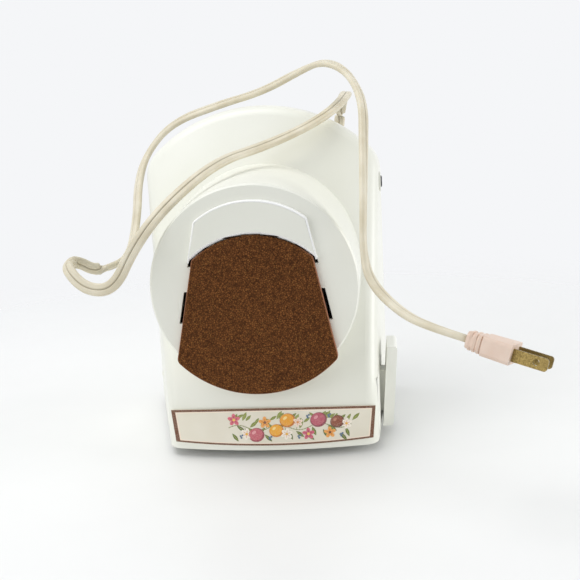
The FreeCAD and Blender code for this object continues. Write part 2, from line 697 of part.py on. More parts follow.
def blade(index):
    """Flat two-armed blade with a pointed tip on each arm."""
    y = BLADE_Y[index]
    half = BLADE_W / 2.0
    points = [(-BLADE_R, -half), (-BLADE_R + 8.0, -half - 1.5), (-12.0, -half), (12.0, -half),
              (BLADE_R - 8.0, -half + 3.0), (BLADE_R - 2.0, 0.5), (BLADE_R, half),
              (BLADE_R - 8.0, half + 1.5), (12.0, half), (-12.0, half),
              (-BLADE_R + 8.0, half - 3.0), (-BLADE_R + 2.0, -0.5)]
    shape = slab_y([(x, DRUM_Z + z) for x, z in points], y, y + BLADE_T)
    shape = shape.common(rod_y(BLADE_R, y, y + BLADE_T))
    shape.rotate(V(0, 0, DRUM_Z), V(0, 1, 0), 35.0 + 60.0 * index)
    return shape.cut(rod_y(SHAFT_R, y - 1, y + BLADE_T + 1))


def blade_spacers():
    ends = [BLADE_Y[1], BLADE_Y[2], BOSS_Y0 - 0.3]
    return group([tube_y(SPACER_R, SHAFT_R, BLADE_Y[i] + BLADE_T, ends[i]) for i in range(3)])


def blade_nut():
    r = 8.5
    points = [(r * math.cos(math.radians(a)), DRUM_Z + r * math.sin(math.radians(a)))
              for a in range(0, 360, 60)]
    y1 = BLADE_Y[0]
    return slab_y(points, SHAFT_Y0, y1).cut(rod_y(SHAFT_R, SHAFT_Y0 - 1, y1 + 1))


def blade_shaft():
    step = GEAR1_Y[1]
    main = rod_y(SHAFT_R, SHAFT_Y0 - 0.6, step)
    return join(main, rod_y(JOURNAL_R, step, BRIDGE_Y + BRIDGE_T + 0.5))


def front_bushing():
    return tube_y(SHAFT_R + RUN + BUSH_T, SHAFT_R + RUN, BOSS_Y0, BOSS_Y1 + 0.5)


def rear_bushing():
    return tube_y(JOURNAL_R + RUN + BUSH_T, JOURNAL_R + RUN, BRIDGE_Y - 1.0, BRIDGE_Y + BRIDGE_T)


def bearing_bridge():
    """Steel strip behind the output gear that carries the shaft's rear end."""
    half = BRIDGE_POST_Z + 5.0
    strip = box(-9.0, 9.0, BRIDGE_Y, BRIDGE_Y + BRIDGE_T, DRUM_Z - half, DRUM_Z + half)
    cuts = [rod_y(JOURNAL_R + RUN + BUSH_T, BRIDGE_Y - 1, BRIDGE_Y + BRIDGE_T + 1)]
    for side in (-1, 1):
        cuts.append(rod_y(1.6, BRIDGE_Y - 1, BRIDGE_Y + BRIDGE_T + 1, 0, DRUM_Z + side * BRIDGE_POST_Z))
    return strip.cut(cuts)


def bridge_posts():
    posts = []
    for side in (-1, 1):
        z = DRUM_Z + side * BRIDGE_POST_Z
        posts.append(tube_y(POST_R, 1.3, CHAMBER_Y + BULKHEAD_T, BRIDGE_Y, 0, z))
    return group(posts)


def bridge_screws():
    top = BRIDGE_Y + BRIDGE_T
    return group([screw_y(1.2, 2.6, 1.6, top + 1.6, BRIDGE_Y - 8.0, 0, DRUM_Z + side * BRIDGE_POST_Z)
                  for side in (-1, 1)])


# ---- gears -----------------------------------------------------------------
def gear(teeth, y0, y1, x, turn):
    """Spur gear with involute flanks, thinned for backlash."""
    pitch = MODULE * teeth / 2.0
    base = pitch * math.cos(PRESSURE)
    tip = pitch + 0.8 * MODULE
    root = pitch - 1.25 * MODULE
    start = max(base, root)
    half_pitch = math.pi / (2 * teeth) - BACKLASH / (2 * pitch)
    inv_pitch = math.tan(PRESSURE) - PRESSURE
    flank = []
    for step in range(4):
        r = start + (tip - start) * step / 3.0
        a = math.acos(min(1.0, base / r))
        flank.append((r, half_pitch + inv_pitch - (math.tan(a) - a)))
    points = []
    for i in range(teeth):
        mid = 2 * math.pi * i / teeth + turn
        side = [(root, -flank[0][1])] + [(r, -h) for r, h in flank]
        side += [(r, h) for r, h in reversed(flank)] + [(root, flank[0][1])]
        for r, h in side:
            points.append((x + r * math.cos(mid + h), DRUM_Z + r * math.sin(mid + h)))
    return slab_y(points, y0, y1)


def output_gear():
    body = gear(OUTPUT_TEETH, GEAR1_Y[0], GEAR1_Y[1], 0.0, 0.0)
    lights = [rod_y(4.0, GEAR1_Y[0] - 1, GEAR1_Y[1] + 1, 14.5 * math.cos(a), DRUM_Z + 14.5 * math.sin(a))
              for a in [math.pi * k / 3 + 0.5 for k in range(6)]]
    return body.cut(lights + [rod_y(SHAFT_R, GEAR1_Y[0] - 1, GEAR1_Y[1] + 1)])


def idler_gear():
    """Compound gear: the small wheel drives the output gear."""
    small_turn = math.pi - math.pi / IDLER_SMALL
    small = gear(IDLER_SMALL, GEAR1_Y[0] - 0.4, GEAR1_Y[1] + 0.4, IDLER_X, small_turn)
    large_turn = math.pi
    large = gear(IDLER_LARGE, GEAR2_Y[0], GEAR2_Y[1], IDLER_X, large_turn)
    hub = rod_y(IDLER_PIN_R + 1.6, CHAMBER_Y + BULKHEAD_T + 3.3, PLATE_Y - 0.3, IDLER_X)
    body = join(small, large, hub)
    return body.cut(rod_y(IDLER_PIN_R + RUN, 0, 200, IDLER_X))


def motor_pinion():
    turn = math.pi / PINION_TEETH
    body = gear(PINION_TEETH, GEAR2_Y[0] - 0.4, GEAR2_Y[1] + 0.4, 0.0, turn)
    return body.cut(rod_y(ARM_SHAFT_R, 0, 200))


def idler_pin():
    return rod_y(IDLER_PIN_R, CHAMBER_Y + 1.0, PLATE_Y + MOTOR_PLATE_T, IDLER_X)


# ---- motor -----------------------------------------------------------------
def corner_points(offset):
    return [(sx * offset, DRUM_Z + sz * offset) for sx in (-1, 1) for sz in (-1, 1)]


def gearbox_posts():
    return group([rod_y(POST_R, CHAMBER_Y + BULKHEAD_T, PLATE_Y, x, z)
                  for x, z in corner_points(POST_XZ)])


def motor_plate():
    y1 = PLATE_Y + MOTOR_PLATE_T
    plate = box(-MOTOR_HALF, MOTOR_HALF, PLATE_Y, y1, DRUM_Z - MOTOR_HALF, DRUM_Z + MOTOR_HALF)
    corners = [e for e in plate.Edges if e.BoundBox.YLength > MOTOR_PLATE_T - 0.1]
    plate = plate.makeFillet(8.0, corners)
    cuts = [rod_y(ARM_SHAFT_R + RUN + BUSH_T, PLATE_Y - 1, y1 + 1),
            rod_y(IDLER_PIN_R, PLATE_Y - 1, y1 + 1, IDLER_X)]
    cuts += [rod_y(BOLT_R + 0.1, PLATE_Y - 1, y1 + 1, x, z) for x, z in corner_points(BOLT_XZ)]
    return plate.cut(cuts)


def plate_screws():
    y1 = PLATE_Y + MOTOR_PLATE_T
    return group([rod_y(3.2, y1, y1 + 1.8, x, z) for x, z in corner_points(POST_XZ)])


def motor_bushings():
    r = ARM_SHAFT_R + RUN
    front = tube_y(r + BUSH_T, r, PLATE_Y - 1.0, PLATE_Y + MOTOR_PLATE_T + 1.0)
    rear = tube_y(r + BUSH_T, r, BRACKET_Y - 0.5, BRACKET_Y + BRACKET_T + 1.0)
    return group([front, rear])


def stator_core():
    y0, y1 = STATOR_Y
    block = rod_y(STATOR_R, y0, y1).common(box(-STATOR_HALF, STATOR_HALF, y0, y1,
                                              DRUM_Z - STATOR_HALF, DRUM_Z + STATOR_HALF))
    ears = [rod_y(5.0, y0, y1, x, z) for x, z in corner_points(BOLT_XZ)]
    block = join(block, *ears).cut(rod_y(YOKE_R, y0 - 1, y1 + 1))
    poles = box(-10.0, 10.0, y0, y1, DRUM_Z - YOKE_R - 1, DRUM_Z + YOKE_R + 1)
    core = join(block, poles).cut(rod_y(BORE_R, y0 - 1, y1 + 1))
    return core.cut([rod_y(BOLT_R + 0.1, y0 - 1, y1 + 1, x, z) for x, z in corner_points(BOLT_XZ)])


def field_coils():
    y0, y1 = STATOR_Y
    coils = []
    for side in (-1, 1):
        low = DRUM_Z + side * 17.8
        high = DRUM_Z + side * 21.4
        z0, z1 = min(low, high), max(low, high)
        outer = box(-13.0, 13.0, y0 - 3.2, y1 + 3.2, z0, z1)
        corners = [e for e in outer.Edges if e.BoundBox.ZLength > 3]
        outer = outer.makeFillet(2.5, corners)
        coils.append(outer.cut(box(-10.3, 10.3, y0 - 0.3, y1 + 0.3, z0 - 1, z1 + 1)))
    return group(coils)


def armature_core():
    y0, y1 = STATOR_Y[0] + 1.0, STATOR_Y[1] - 1.0
    core = tube_y(ARM_R, ARM_SHAFT_R, y0, y1)
    slots = []
    for k in range(12):
        a = math.radians(30 * k)
        slots.append(rod_y(1.6, y0 - 1, y1 + 1, 14.6 * math.cos(a), DRUM_Z + 14.6 * math.sin(a)))
    return core.cut(slots)


def armature_windings():
    y0, y1 = STATOR_Y[0] + 1.0, STATOR_Y[1] - 1.0
    ends = []
    for a, b in ((y0 - 4.0, y0), (y1, y1 + 4.0)):
        ring = tube_y(13.5, ARM_SHAFT_R, a, b)
        edges = [e for e in ring.Edges if e.BoundBox.XLength > 20 and e.BoundBox.YLength < 0.1]
        outer = min if a < y0 else max
        level = outer(e.BoundBox.YMin for e in edges)
        ends.append(ring.makeFillet(2.0, [e for e in edges if abs(e.BoundBox.YMin - level) < 0.1]))
    return group(ends)


def armature_shaft():
    return rod_y(ARM_SHAFT_R, GEAR2_Y[0] - 1.0, BRACKET_Y + BRACKET_T + 0.8)


def commutator():
    ring = tube_y(COMM_R, ARM_SHAFT_R, COMM_Y[0], COMM_Y[1])
    cuts = []
    for k in range(12):
        slot = box(COMM_R - 0.8, COMM_R + 1, COMM_Y[0] + 1.5, COMM_Y[1] + 1, DRUM_Z - 0.25, DRUM_Z + 0.25)
        slot.rotate(V(0, 0, DRUM_Z), V(0, 1, 0), 30 * k)
        cuts.append(slot)
    return ring.cut(cuts)


def cooling_fan():
    hub = tube_y(6.0, ARM_SHAFT_R, FAN_Y[0], FAN_Y[1])
    disc = tube_y(FAN_R, ARM_SHAFT_R, FAN_Y[1] - 1.0, FAN_Y[1])
    vanes = []
    for k in range(10):
        vane = box(8.0, FAN_R - 0.5, FAN_Y[0], FAN_Y[1], DRUM_Z - 0.5, DRUM_Z + 0.5)
        vane.rotate(V(0, 0, DRUM_Z), V(0, 1, 0), 36 * k)
        vanes.append(vane)
    return join(hub, disc, *vanes)


def brush_plate():
    y1 = BRUSH_PLATE_Y + BRUSH_PLATE_T
    plate = box(-30, 30, BRUSH_PLATE_Y, y1, DRUM_Z - 30, DRUM_Z + 30)
    corners = [e for e in plate.Edges if e.BoundBox.YLength > BRUSH_PLATE_T - 0.1]
    plate = plate.makeFillet(6.0, corners)
    cuts = [rod_y(COMM_R + 3.0, BRUSH_PLATE_Y - 1, y1 + 1)]
    cuts += [rod_y(BOLT_R + 0.1, BRUSH_PLATE_Y - 1, y1 + 1, x, z) for x, z in corner_points(BOLT_XZ)]
    return plate.cut(cuts)


def brush_holders():
    holders = []
    for side in (-1, 1):
        x0, x1 = sorted((side * (COMM_R + 1.5), side * 27.0))
        outer = box(x0, x1, BRUSH_PLATE_Y - 7.0, BRUSH_PLATE_Y, DRUM_Z - 4.0, DRUM_Z + 4.0)
        bore = box(x0 - 1, x1 + 1 if side < 0 else x1 - 1.5, BRUSH_PLATE_Y - 5.6, BRUSH_PLATE_Y - 1.6,
                   DRUM_Z - 2.6, DRUM_Z + 2.6)
        if side < 0:
            bore = box(x0 + 1.5, x1 + 1, BRUSH_PLATE_Y - 5.6, BRUSH_PLATE_Y - 1.6,
                       DRUM_Z - 2.6, DRUM_Z + 2.6)
        holders.append(outer.cut(bore))
    return group(holders)


def carbon_brushes():
    brushes = []
    for side in (-1, 1):
        x0, x1 = sorted((side * (COMM_R + 0.3), side * 20.0))
        brushes.append(box(x0, x1, BRUSH_PLATE_Y - 5.5, BRUSH_PLATE_Y - 1.6,
                           DRUM_Z - 2.5, DRUM_Z + 2.5))
    return group(brushes)


def motor_bracket():
    y1 = BRACKET_Y + BRACKET_T
    plate = box(-30, 30, BRACKET_Y, y1, DRUM_Z - 30, DRUM_Z + 30)
    corners = [e for e in plate.Edges if e.BoundBox.YLength > BRACKET_T - 0.1]
    plate = plate.makeFillet(6.0, corners)
    window = rod_y(23.0, BRACKET_Y - 1, y1 + 1).cut(rod_y(9.0, BRACKET_Y - 2, y1 + 2))
    bars = join(box(-5, 5, BRACKET_Y - 2, y1 + 2, DRUM_Z - 30, DRUM_Z + 30),
                box(-30, 30, BRACKET_Y - 2, y1 + 2, DRUM_Z - 5, DRUM_Z + 5))
    cuts = [window.cut(bars), rod_y(ARM_SHAFT_R + RUN + BUSH_T, BRACKET_Y - 1, y1 + 1)]
    cuts += [rod_y(BOLT_R + 0.1, BRACKET_Y - 1, y1 + 1, x, z) for x, z in corner_points(BOLT_XZ)]
    return plate.cut(cuts)


def motor_sleeves():
    spans = ((PLATE_Y + MOTOR_PLATE_T, STATOR_Y[0]), (STATOR_Y[1], BRUSH_PLATE_Y),
             (BRUSH_PLATE_Y + BRUSH_PLATE_T, BRACKET_Y))
    return group([tube_y(4.0, BOLT_R + 0.1, a, b, x, z) for a, b in spans
                  for x, z in corner_points(BOLT_XZ)])


def motor_bolts():
    back = BRACKET_Y + BRACKET_T
    return group([screw_y(BOLT_R, 3.6, 2.2, back + 2.2, PLATE_Y, x, z)
                  for x, z in corner_points(BOLT_XZ)])


# ---- power switch ----------------------------------------------------------
def switch_face():
    """The wall's outside at the button's axis."""
    return side_x(BUTTON_Y, False)


def switch_inner():
    """The switch block's outer face, just inside the wall."""
    return side_x(BUTTON_Y - SWITCH_FRONT, False) - WALL - SWITCH_BACK


def switch_body():
    inner = switch_inner()
    block = box(inner - 15.0, inner, BUTTON_Y - SWITCH_FRONT, BUTTON_Y + 8.0,
                BUTTON_Z - 8.0, BUTTON_Z + SWITCH_FRONT)
    edges = [e for e in block.Edges if e.BoundBox.XLength > 10]
    block = block.makeFillet(1.2, edges)
    neck = rod_x(NECK_R - 0.05, inner - 1, switch_face(), BUTTON_Y, BUTTON_Z)
    bore = rod_x(BUTTON_R + BUTTON_RUN, inner - 6.0, switch_face() + 2.0, BUTTON_Y, BUTTON_Z)
    tabs = [box(inner - 21.0, inner - 14.5, BUTTON_Y + s * 4 - 1.6, BUTTON_Y + s * 4 + 1.6,
                BUTTON_Z - 0.4, BUTTON_Z + 0.4) for s in (-1, 1)]
    return join(block, neck, *tabs).cut(bore)


def bezel_face():
    return side_x(BUTTON_Y + BEZEL_R, False) + BEZEL_T


def switch_bezel():
    face = bezel_face()
    ring = rod_x(BEZEL_R, face - 4.0, face, BUTTON_Y, BUTTON_Z)
    edges = [e for e in ring.Edges if e.BoundBox.XMin > face - 0.01 and e.BoundBox.XLength < 0.01]
    ring = ring.makeFillet(0.3, edges).cut(loft_body(RIM_Z, 0.0))
    ring = ring.cut(rod_x(NECK_R, face - 6.0, switch_face() + 0.05, BUTTON_Y, BUTTON_Z))
    return ring.cut(rod_x(BUTTON_R + BUTTON_RUN, face - 6.0, face + 3, BUTTON_Y, BUTTON_Z))


def power_button():
    tip = bezel_face() + BUTTON_PROUD
    stem = rod_x(BUTTON_R, switch_inner() - 2.0, tip, BUTTON_Y, BUTTON_Z)
    edges = [e for e in stem.Edges if e.BoundBox.XMin > tip - 0.01 and e.BoundBox.XLength < 0.01]
    return stem.makeFillet(0.9, edges)


# ---- screws of the housing -------------------------------------------------
def cover_screws():
    return group([screw_y(1.45, 3.4, 2.0, REAR_Y - 1.2, SEAM_Y - 12.0, x, z)
                  for x, z, side, fall in seam_points()])


def base_screws():
    screws = []
    for x, y, side in base_points():
        head = rod_z(3.0, FOOT_H - 0.2, FOOT_H + 1.6, x, y)
        shank = rod_z(1.4, FOOT_H + 1.0, BASE_BOSS_TOP - 6.0, x, y)
        slot = box(x - 3, x + 3, y - 0.5, y + 0.5, FOOT_H - 1, FOOT_H + 0.5)
        screws.append(head.fuse(shank).cut(slot))
    return group(screws)


# ---- strain relief, cord and plug ------------------------------------------
# The cord's route: corners of its straight runs, from the strain relief up
# behind the cover, forward over the drum, round the loop on the left, back
# over the top and down past the drum's right side to the plug.
ROUTE = [V(44, 150, 152), V(44.5, 164, 163), V(46, 174, 181), V(49, 160, 194),
         V(53, 130, 198), V(45, 92, 190.5), V(27, 76, 181), V(2, 68, 172),
         V(-22, 34, 168), V(-48, 2, 148), V(-64, -8, 128), V(-76, -8, 105.5),
         V(-93, -4, 105), V(-106, 4, 117), V(-103, 19, 117), V(-93, 26, 108.5),
         V(-80, 54, 110), V(-80, 84, 130), V(-86, 122, 146), V(-84, 146, 162),
         V(-66, 150, 182), V(-32, 144, 193), V(-2, 124, 201), V(24, 114, 213.5),
         V(40, 100, 219.5), V(54, 84, 213), V(63, 54, 198), V(62.5, 24, 176),
         V(61.5, -2, 146), V(60.5, -14, 124), V(64, -22, 108), V(80, -43, 96),
         V(95.5, -57.7, 92.1), V(110.8, -64, 88.3)]
CORNER_SHARE = 0.45       # of the shorter run that each corner's arc takes


def unit(vector):
    out = V(vector)
    return out.normalize()


def relief_base():
    """Where the sleeve's axis leaves the rear cover's back."""
    d = unit(ROUTE[1] - ROUTE[0])
    return ROUTE[0] - d * ((ROUTE[0].y - REAR_Y) / d.y)


def relief_cut():
    at = relief_base()
    return rod_y(RELIEF_NECK_R + 0.05, REAR_Y - WALL - 2, REAR_Y + 2, at.x, at.z)


def strain_relief():
    """Rubber grommet in the cover with a ribbed, tapered sleeve on it."""
    at = relief_base()
    d = unit(ROUTE[1] - ROUTE[0])
    length = (ROUTE[0] - at).Length
    neck = rod_y(RELIEF_NECK_R, REAR_Y - WALL - 1, REAR_Y + 1, at.x, at.z)
    collar = rod_y(RELIEF_FLANGE_R - 1.2, REAR_Y - WALL - 2.2, REAR_Y - WALL, at.x, at.z)
    flange = rod_y(RELIEF_FLANGE_R, REAR_Y, REAR_Y + RELIEF_FLANGE_T, at.x, at.z)
    sleeve = [Part.makeCone(6.8, CORD_W / 2.0 + 0.8, length + 2.0, at - d * 2.0, d)]
    for k in range(3):
        sleeve.append(Part.makeCylinder(6.9 - 0.4 * k, 1.5, at + d * (6.5 + 4.0 * k), d))
    outside = box(-200, 200, REAR_Y + 0.1, 300, 0, 400)
    return join(neck, collar, flange, *[piece.common(outside) for piece in sleeve])


def cord_path():
    """Straight runs joined by tangent arcs, and the arcs' radii."""
    edges = []
    radii = []
    start = ROUTE[0]
    for before, corner, after in zip(ROUTE, ROUTE[1:], ROUTE[2:]):
        back = unit(before - corner)
        ahead = unit(after - corner)
        share = CORNER_SHARE * min((before - corner).Length, (after - corner).Length)
        turn = math.pi - back.getAngle(ahead)
        radius = share / math.tan(turn / 2.0)
        bisector = unit(back + ahead)
        centre = corner + bisector * (radius / math.cos(turn / 2.0))
        enter = corner + back * share
        leave = corner + ahead * share
        edges.append(Part.LineSegment(start, enter).toShape())
        edges.append(Part.Arc(enter, centre - bisector * radius, leave).toShape())
        radii.append(round(radius, 1))
        start = leave
    edges.append(Part.LineSegment(start, ROUTE[-1]).toShape())
    return Part.Wire(edges), radii


def power_cord():
    path, radii = cord_path()
    ring = Part.makeCircle(CORD_W / 2.0, ROUTE[0], ROUTE[1] - ROUTE[0])
    shell = Part.Wire([ring])
    tube = path.makePipeShell([shell], True, False)
    print("cord radii", radii)
    section = math.pi * CORD_W ** 2 / 4.0
    print("cord length", round(path.Length, 1), "volume", round(tube.Volume, 1),
          "section times length", round(section * path.Length, 1))
    return tube


def plug_frame():
    """Placement of the plug: X along the pins, Y across the two pins."""
    along = unit(ROUTE[-1] - ROUTE[-2])
    across = V(0.33, 0.92, -0.20)
    across = unit(across - along * across.dot(along))
    up = along.cross(across)
    return FreeCAD.Placement(ROUTE[-1], FreeCAD.Rotation(along, across, up, "XYZ"))


def placed(shape):
    out = shape.copy()
    out.Placement = plug_frame().multiply(out.Placement)
    return out


def plug_section(x, half_w, half_h, r):
    block = box(x, x + 1, -half_w, half_w, -half_h, half_h)
    edges = [e for e in block.Edges if e.BoundBox.XLength > 0.9]
    block = block.makeFillet(r, edges)
    face = [f for f in block.Faces if f.BoundBox.XMax < x + 0.01][0]
    return face.OuterWire


def plug_body():
    """Moulded plug: ribbed tail, waisted grip and square front."""
    end = PLUG_TAIL + PLUG_BODY
    tail = Part.makeLoft([plug_section(0.0, 4.6, 4.2, 3.0),
                          plug_section(PLUG_TAIL, 8.0, PLUG_H / 2.0 - 0.3, 3.0)], True, True)
    grip = Part.makeLoft([plug_section(PLUG_TAIL, 9.0, PLUG_H / 2.0, 2.0),
                          plug_section(end, PLUG_W / 2.0, PLUG_H / 2.0, 2.0)], True, True)
    ribs = []
    for k in range(3):
        half = 5.6 + 1.3 * k
        rib = box(1.6 + 2.6 * k, 2.8 + 2.6 * k, -half, half, -4.7, 4.7)
        edges = [e for e in rib.Edges if e.BoundBox.XLength > 1.1]
        ribs.append(rib.makeFillet(2.6, edges))
    return placed(join(tail, grip, *ribs))


def plug_pins():
    """Two flat brass pins, each with its hole."""
    x0 = PLUG_TAIL + PLUG_BODY
    pins = []
    for side in (-1, 1):
        mid = side * PIN_GAP / 2.0
        pin = box(x0, x0 + PIN_L, mid - PIN_T / 2, mid + PIN_T / 2, -PIN_W / 2, PIN_W / 2)
        tips = [e for e in pin.Edges if e.BoundBox.XMin > x0 + PIN_L - 0.01
                and e.BoundBox.YLength > PIN_T - 0.1]
        pin = pin.makeFillet(1.6, tips)
        hole = Part.makeCylinder(PIN_HOLE_R, 4, V(x0 + PIN_HOLE_AT, mid - 2, 0), V(0, 1, 0))
        pins.append(pin.cut(hole))
    return placed(group(pins))


PARTS = {
    "front_housing": front_housing,
    "rear_cover": rear_cover,
    "base_plate": base_plate,
    "feet": feet,
    "label_plate": label_plate,
    "visor_panel": visor,
    "lid": lid,
    "lid_hinge_pin": lambda: rod_x(HINGE_R, -HINGE_HALF, HINGE_HALF, HINGE_Y, HINGE_Z),
    "ice_drawer": ice_drawer,
    "drawer_guides": drawer_guides,
    "bulkhead": bulkhead,
    "bulkhead_screws": bulkhead_screws,
    "ice_ramp": ice_ramp,
    "crushing_comb": crushing_comb,
    "crusher_blade_front": lambda: blade(0),
    "crusher_blade_middle": lambda: blade(1),
    "crusher_blade_rear": lambda: blade(2),
    "blade_spacers": blade_spacers,
    "blade_nut": blade_nut,
    "blade_shaft": blade_shaft,
    "shaft_bushing_front": front_bushing,
    "shaft_bushing_rear": rear_bushing,
    "bearing_bridge": bearing_bridge,
    "bridge_posts": bridge_posts,
    "bridge_screws": bridge_screws,
    "output_gear": output_gear,
    "idler_gear": idler_gear,
    "idler_pin": idler_pin,
    "motor_pinion": motor_pinion,
    "gearbox_posts": gearbox_posts,
    "motor_plate": motor_plate,
    "plate_screws": plate_screws,
    "motor_bushings": motor_bushings,
    "stator_core": stator_core,
    "field_coils": field_coils,
    "armature_core": armature_core,
    "armature_windings": armature_windings,
    "armature_shaft": armature_shaft,
    "commutator": commutator,
    "cooling_fan": cooling_fan,
    "brush_plate": brush_plate,
    "brush_holders": brush_holders,
    "carbon_brushes": carbon_brushes,
    "motor_bracket": motor_bracket,
    "motor_sleeves": motor_sleeves,
    "motor_bolts": motor_bolts,
    "switch_body": switch_body,
    "switch_bezel": switch_bezel,
    "power_button": power_button,
    "cover_screws": cover_screws,
    "base_screws": base_screws,
    "strain_relief": strain_relief,
    "power_cord": power_cord,
    "plug_body": plug_body,
    "plug_pins": plug_pins,
}

for node, make in PARTS.items():
    save(node, make())
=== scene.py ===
import math

import bmesh
import bpy
from mathutils import Matrix, Vector


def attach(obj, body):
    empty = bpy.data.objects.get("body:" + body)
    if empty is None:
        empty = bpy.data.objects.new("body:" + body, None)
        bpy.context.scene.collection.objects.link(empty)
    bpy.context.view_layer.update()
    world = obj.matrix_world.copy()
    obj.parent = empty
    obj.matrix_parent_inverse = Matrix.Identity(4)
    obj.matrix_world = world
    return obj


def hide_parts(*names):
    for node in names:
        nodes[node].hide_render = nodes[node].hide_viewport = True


# Electric ice crusher with a drum front, a brown flip-up lid, a side drawer
# and a flat mains cord. Metres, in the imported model's own frame.

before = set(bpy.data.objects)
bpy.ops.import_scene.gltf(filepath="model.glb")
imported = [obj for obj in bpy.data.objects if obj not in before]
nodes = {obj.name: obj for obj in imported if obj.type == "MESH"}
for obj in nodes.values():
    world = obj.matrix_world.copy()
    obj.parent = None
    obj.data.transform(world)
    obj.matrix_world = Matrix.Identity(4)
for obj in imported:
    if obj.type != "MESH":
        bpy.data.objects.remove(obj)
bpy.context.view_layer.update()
MM = 0.001


# ---- shader helpers --------------------------------------------------------
def linear(code):
    """An sRGB hex colour such as "#e2dbcb" as linear RGBA."""
    parts = [int(code[i:i + 2], 16) / 255.0 for i in (1, 3, 5)]
    return tuple(c / 12.92 if c <= 0.04045 else ((c + 0.055) / 1.055) ** 2.4
                 for c in parts) + (1.0,)


def feed(tree, node, inputs):
    """Give a node its inputs, each linked from a socket or set to a value."""
    for name, value in inputs.items():
        if isinstance(value, bpy.types.NodeSocket):
            tree.links.new(value, node.inputs[name])
        else:
            node.inputs[name].default_value = value


def add(tree, kind, inputs=None, **settings):
    """Add one shader node with its settings and its inputs."""
    node = tree.nodes.new("ShaderNode" + kind)
    for name, value in settings.items():
        setattr(node, name, value)
    feed(tree, node, inputs or {})
    return node


def find(tree, kind):
    """The first node of a kind in a tree."""
    return next(node for node in tree.nodes if node.type == kind)


def start_material(name):
    """An empty node material with its output, shader and object coordinates."""
    material = bpy.data.materials.new(name)
    material.use_nodes = True
    tree = material.node_tree
    tree.nodes.clear()
    shader = add(tree, "BsdfPrincipled")
    add(tree, "OutputMaterial", {"Surface": shader.outputs["BSDF"]})
    where = add(tree, "TexCoord").outputs["Object"]
    return material, tree, shader, where


def reopen(material):
    """A made material's tree, its shader and the colour that feeds it."""
    tree = material.node_tree
    shader = find(tree, "BSDF_PRINCIPLED")
    return tree, shader, shader.inputs["Base Color"].links[0].from_socket


def per_mm(size):
    """Texture scale at which one feature is about that many millimetres."""
    return 1.0 / (size * MM)


def noise(tree, where, size, detail, **inputs):
    """Cloudy noise whose features are about size millimetres."""
    return add(tree, "TexNoise", {"Vector": where, "Scale": per_mm(size), "Detail": detail,
                                  **inputs}).outputs["Fac"]


def blend_colours(tree, factor, first, second):
    """The first colour where the factor is 0, the second where it is 1."""
    return add(tree, "Mix", {0: factor, 6: first, 7: second}, data_type="RGBA").outputs[2]


def ramp(tree, value, low, high, to_low=0.0, to_high=1.0):
    """A value's range from low to high moved to another range, and held there."""
    return add(tree, "MapRange", {"Value": value, "From Min": low, "From Max": high,
                                  "To Min": to_low, "To Max": to_high}).outputs["Result"]


def product(tree, first, second):
    """Two values multiplied."""
    return add(tree, "Math", {0: first, 1: second}, operation="MULTIPLY").outputs[0]


def relief(tree, height, depth, strength=1.0):
    """The normal of a surface raised by a height, at most depth millimetres."""
    return add(tree, "Bump", {"Height": height, "Distance": depth * MM,
                              "Strength": strength}).outputs["Normal"]


def facing_y(tree):
    """The Y of the surface's own normal, -1 where it looks to the front."""
    normal = find(tree, "TEX_COORD").outputs["Normal"]
    return add(tree, "SeparateXYZ", {0: normal}).outputs["Y"]


def dress(material, *names):
    """Put a material on every slot of the named CAD nodes."""
    for name in names:
        for slot in nodes[name].material_slots:
            slot.material = material


# ---- mesh helpers ----------------------------------------------------------
def mesh_object(name, bm, material):
    """Turn a bmesh into an object of one material."""
    mesh = bpy.data.meshes.new(name)
    bm.to_mesh(mesh)
    bm.free()
    mesh.materials.append(material)
    made = bpy.data.objects.new(name, mesh)
    bpy.context.scene.collection.objects.link(made)
    return made


def new_piece(name, bm, material, smooth=True):
    """A piece of the crusher's standing body, made from a bmesh."""
    piece = mesh_object(name, bm, material)
    if smooth:
        piece.data.polygons.foreach_set("use_smooth", [True] * len(piece.data.polygons))
    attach(piece, "crusher")
    return piece


def heading(points, i):
    """The direction in which a row of points runs at one of them."""
    return (points[min(i + 1, len(points) - 1)] - points[max(i - 1, 0)]).normalized()


def skin_tube(bm, loops):
    """Join a row of equal vertex loops into a tube with closed ends."""
    for loop, following in zip(loops, loops[1:]):
        for k in range(len(loop)):
            after = (k + 1) % len(loop)
            bm.faces.new((loop[k], loop[after], following[after], following[k]))
    bm.faces.new(list(reversed(loops[0])))
    bm.faces.new(loops[-1])
    bmesh.ops.recalc_face_normals(bm, faces=bm.faces)


# ---- camera ----------------------------------------------------------------
CAMERA_TARGET = Vector((0.01935, -0.0653, 0.1004))
CAMERA_DISTANCE = 0.6034
CAMERA_AZIMUTH = 4.56
CAMERA_ELEVATION = 13.48
CAMERA_ROLL = -2.87
CAMERA_LENS = 68.28


def place_camera():
    """A camera that looks at the target from its azimuth and elevation."""
    az, el, roll = (math.radians(a) for a in (CAMERA_AZIMUTH, CAMERA_ELEVATION, CAMERA_ROLL))
    back = Vector((math.sin(az) * math.cos(el), -math.cos(az) * math.cos(el), math.sin(el)))
    level = (-back).cross(Vector((0, 0, 1))).normalized()
    above = level.cross(-back)
    right = level * math.cos(roll) + above * math.sin(roll)
    up = above * math.cos(roll) - level * math.sin(roll)
    data = bpy.data.cameras.new("camera")
    data.sensor_width = 36.0
    data.lens = CAMERA_LENS
    data.clip_end = 20.0
    camera = bpy.data.objects.new("camera", data)
    bpy.context.scene.collection.objects.link(camera)
    turn = Matrix((right, up, back)).transposed().to_4x4()
    camera.matrix_world = Matrix.Translation(CAMERA_TARGET + back * CAMERA_DISTANCE) @ turn
    bpy.context.scene.camera = camera


place_camera()


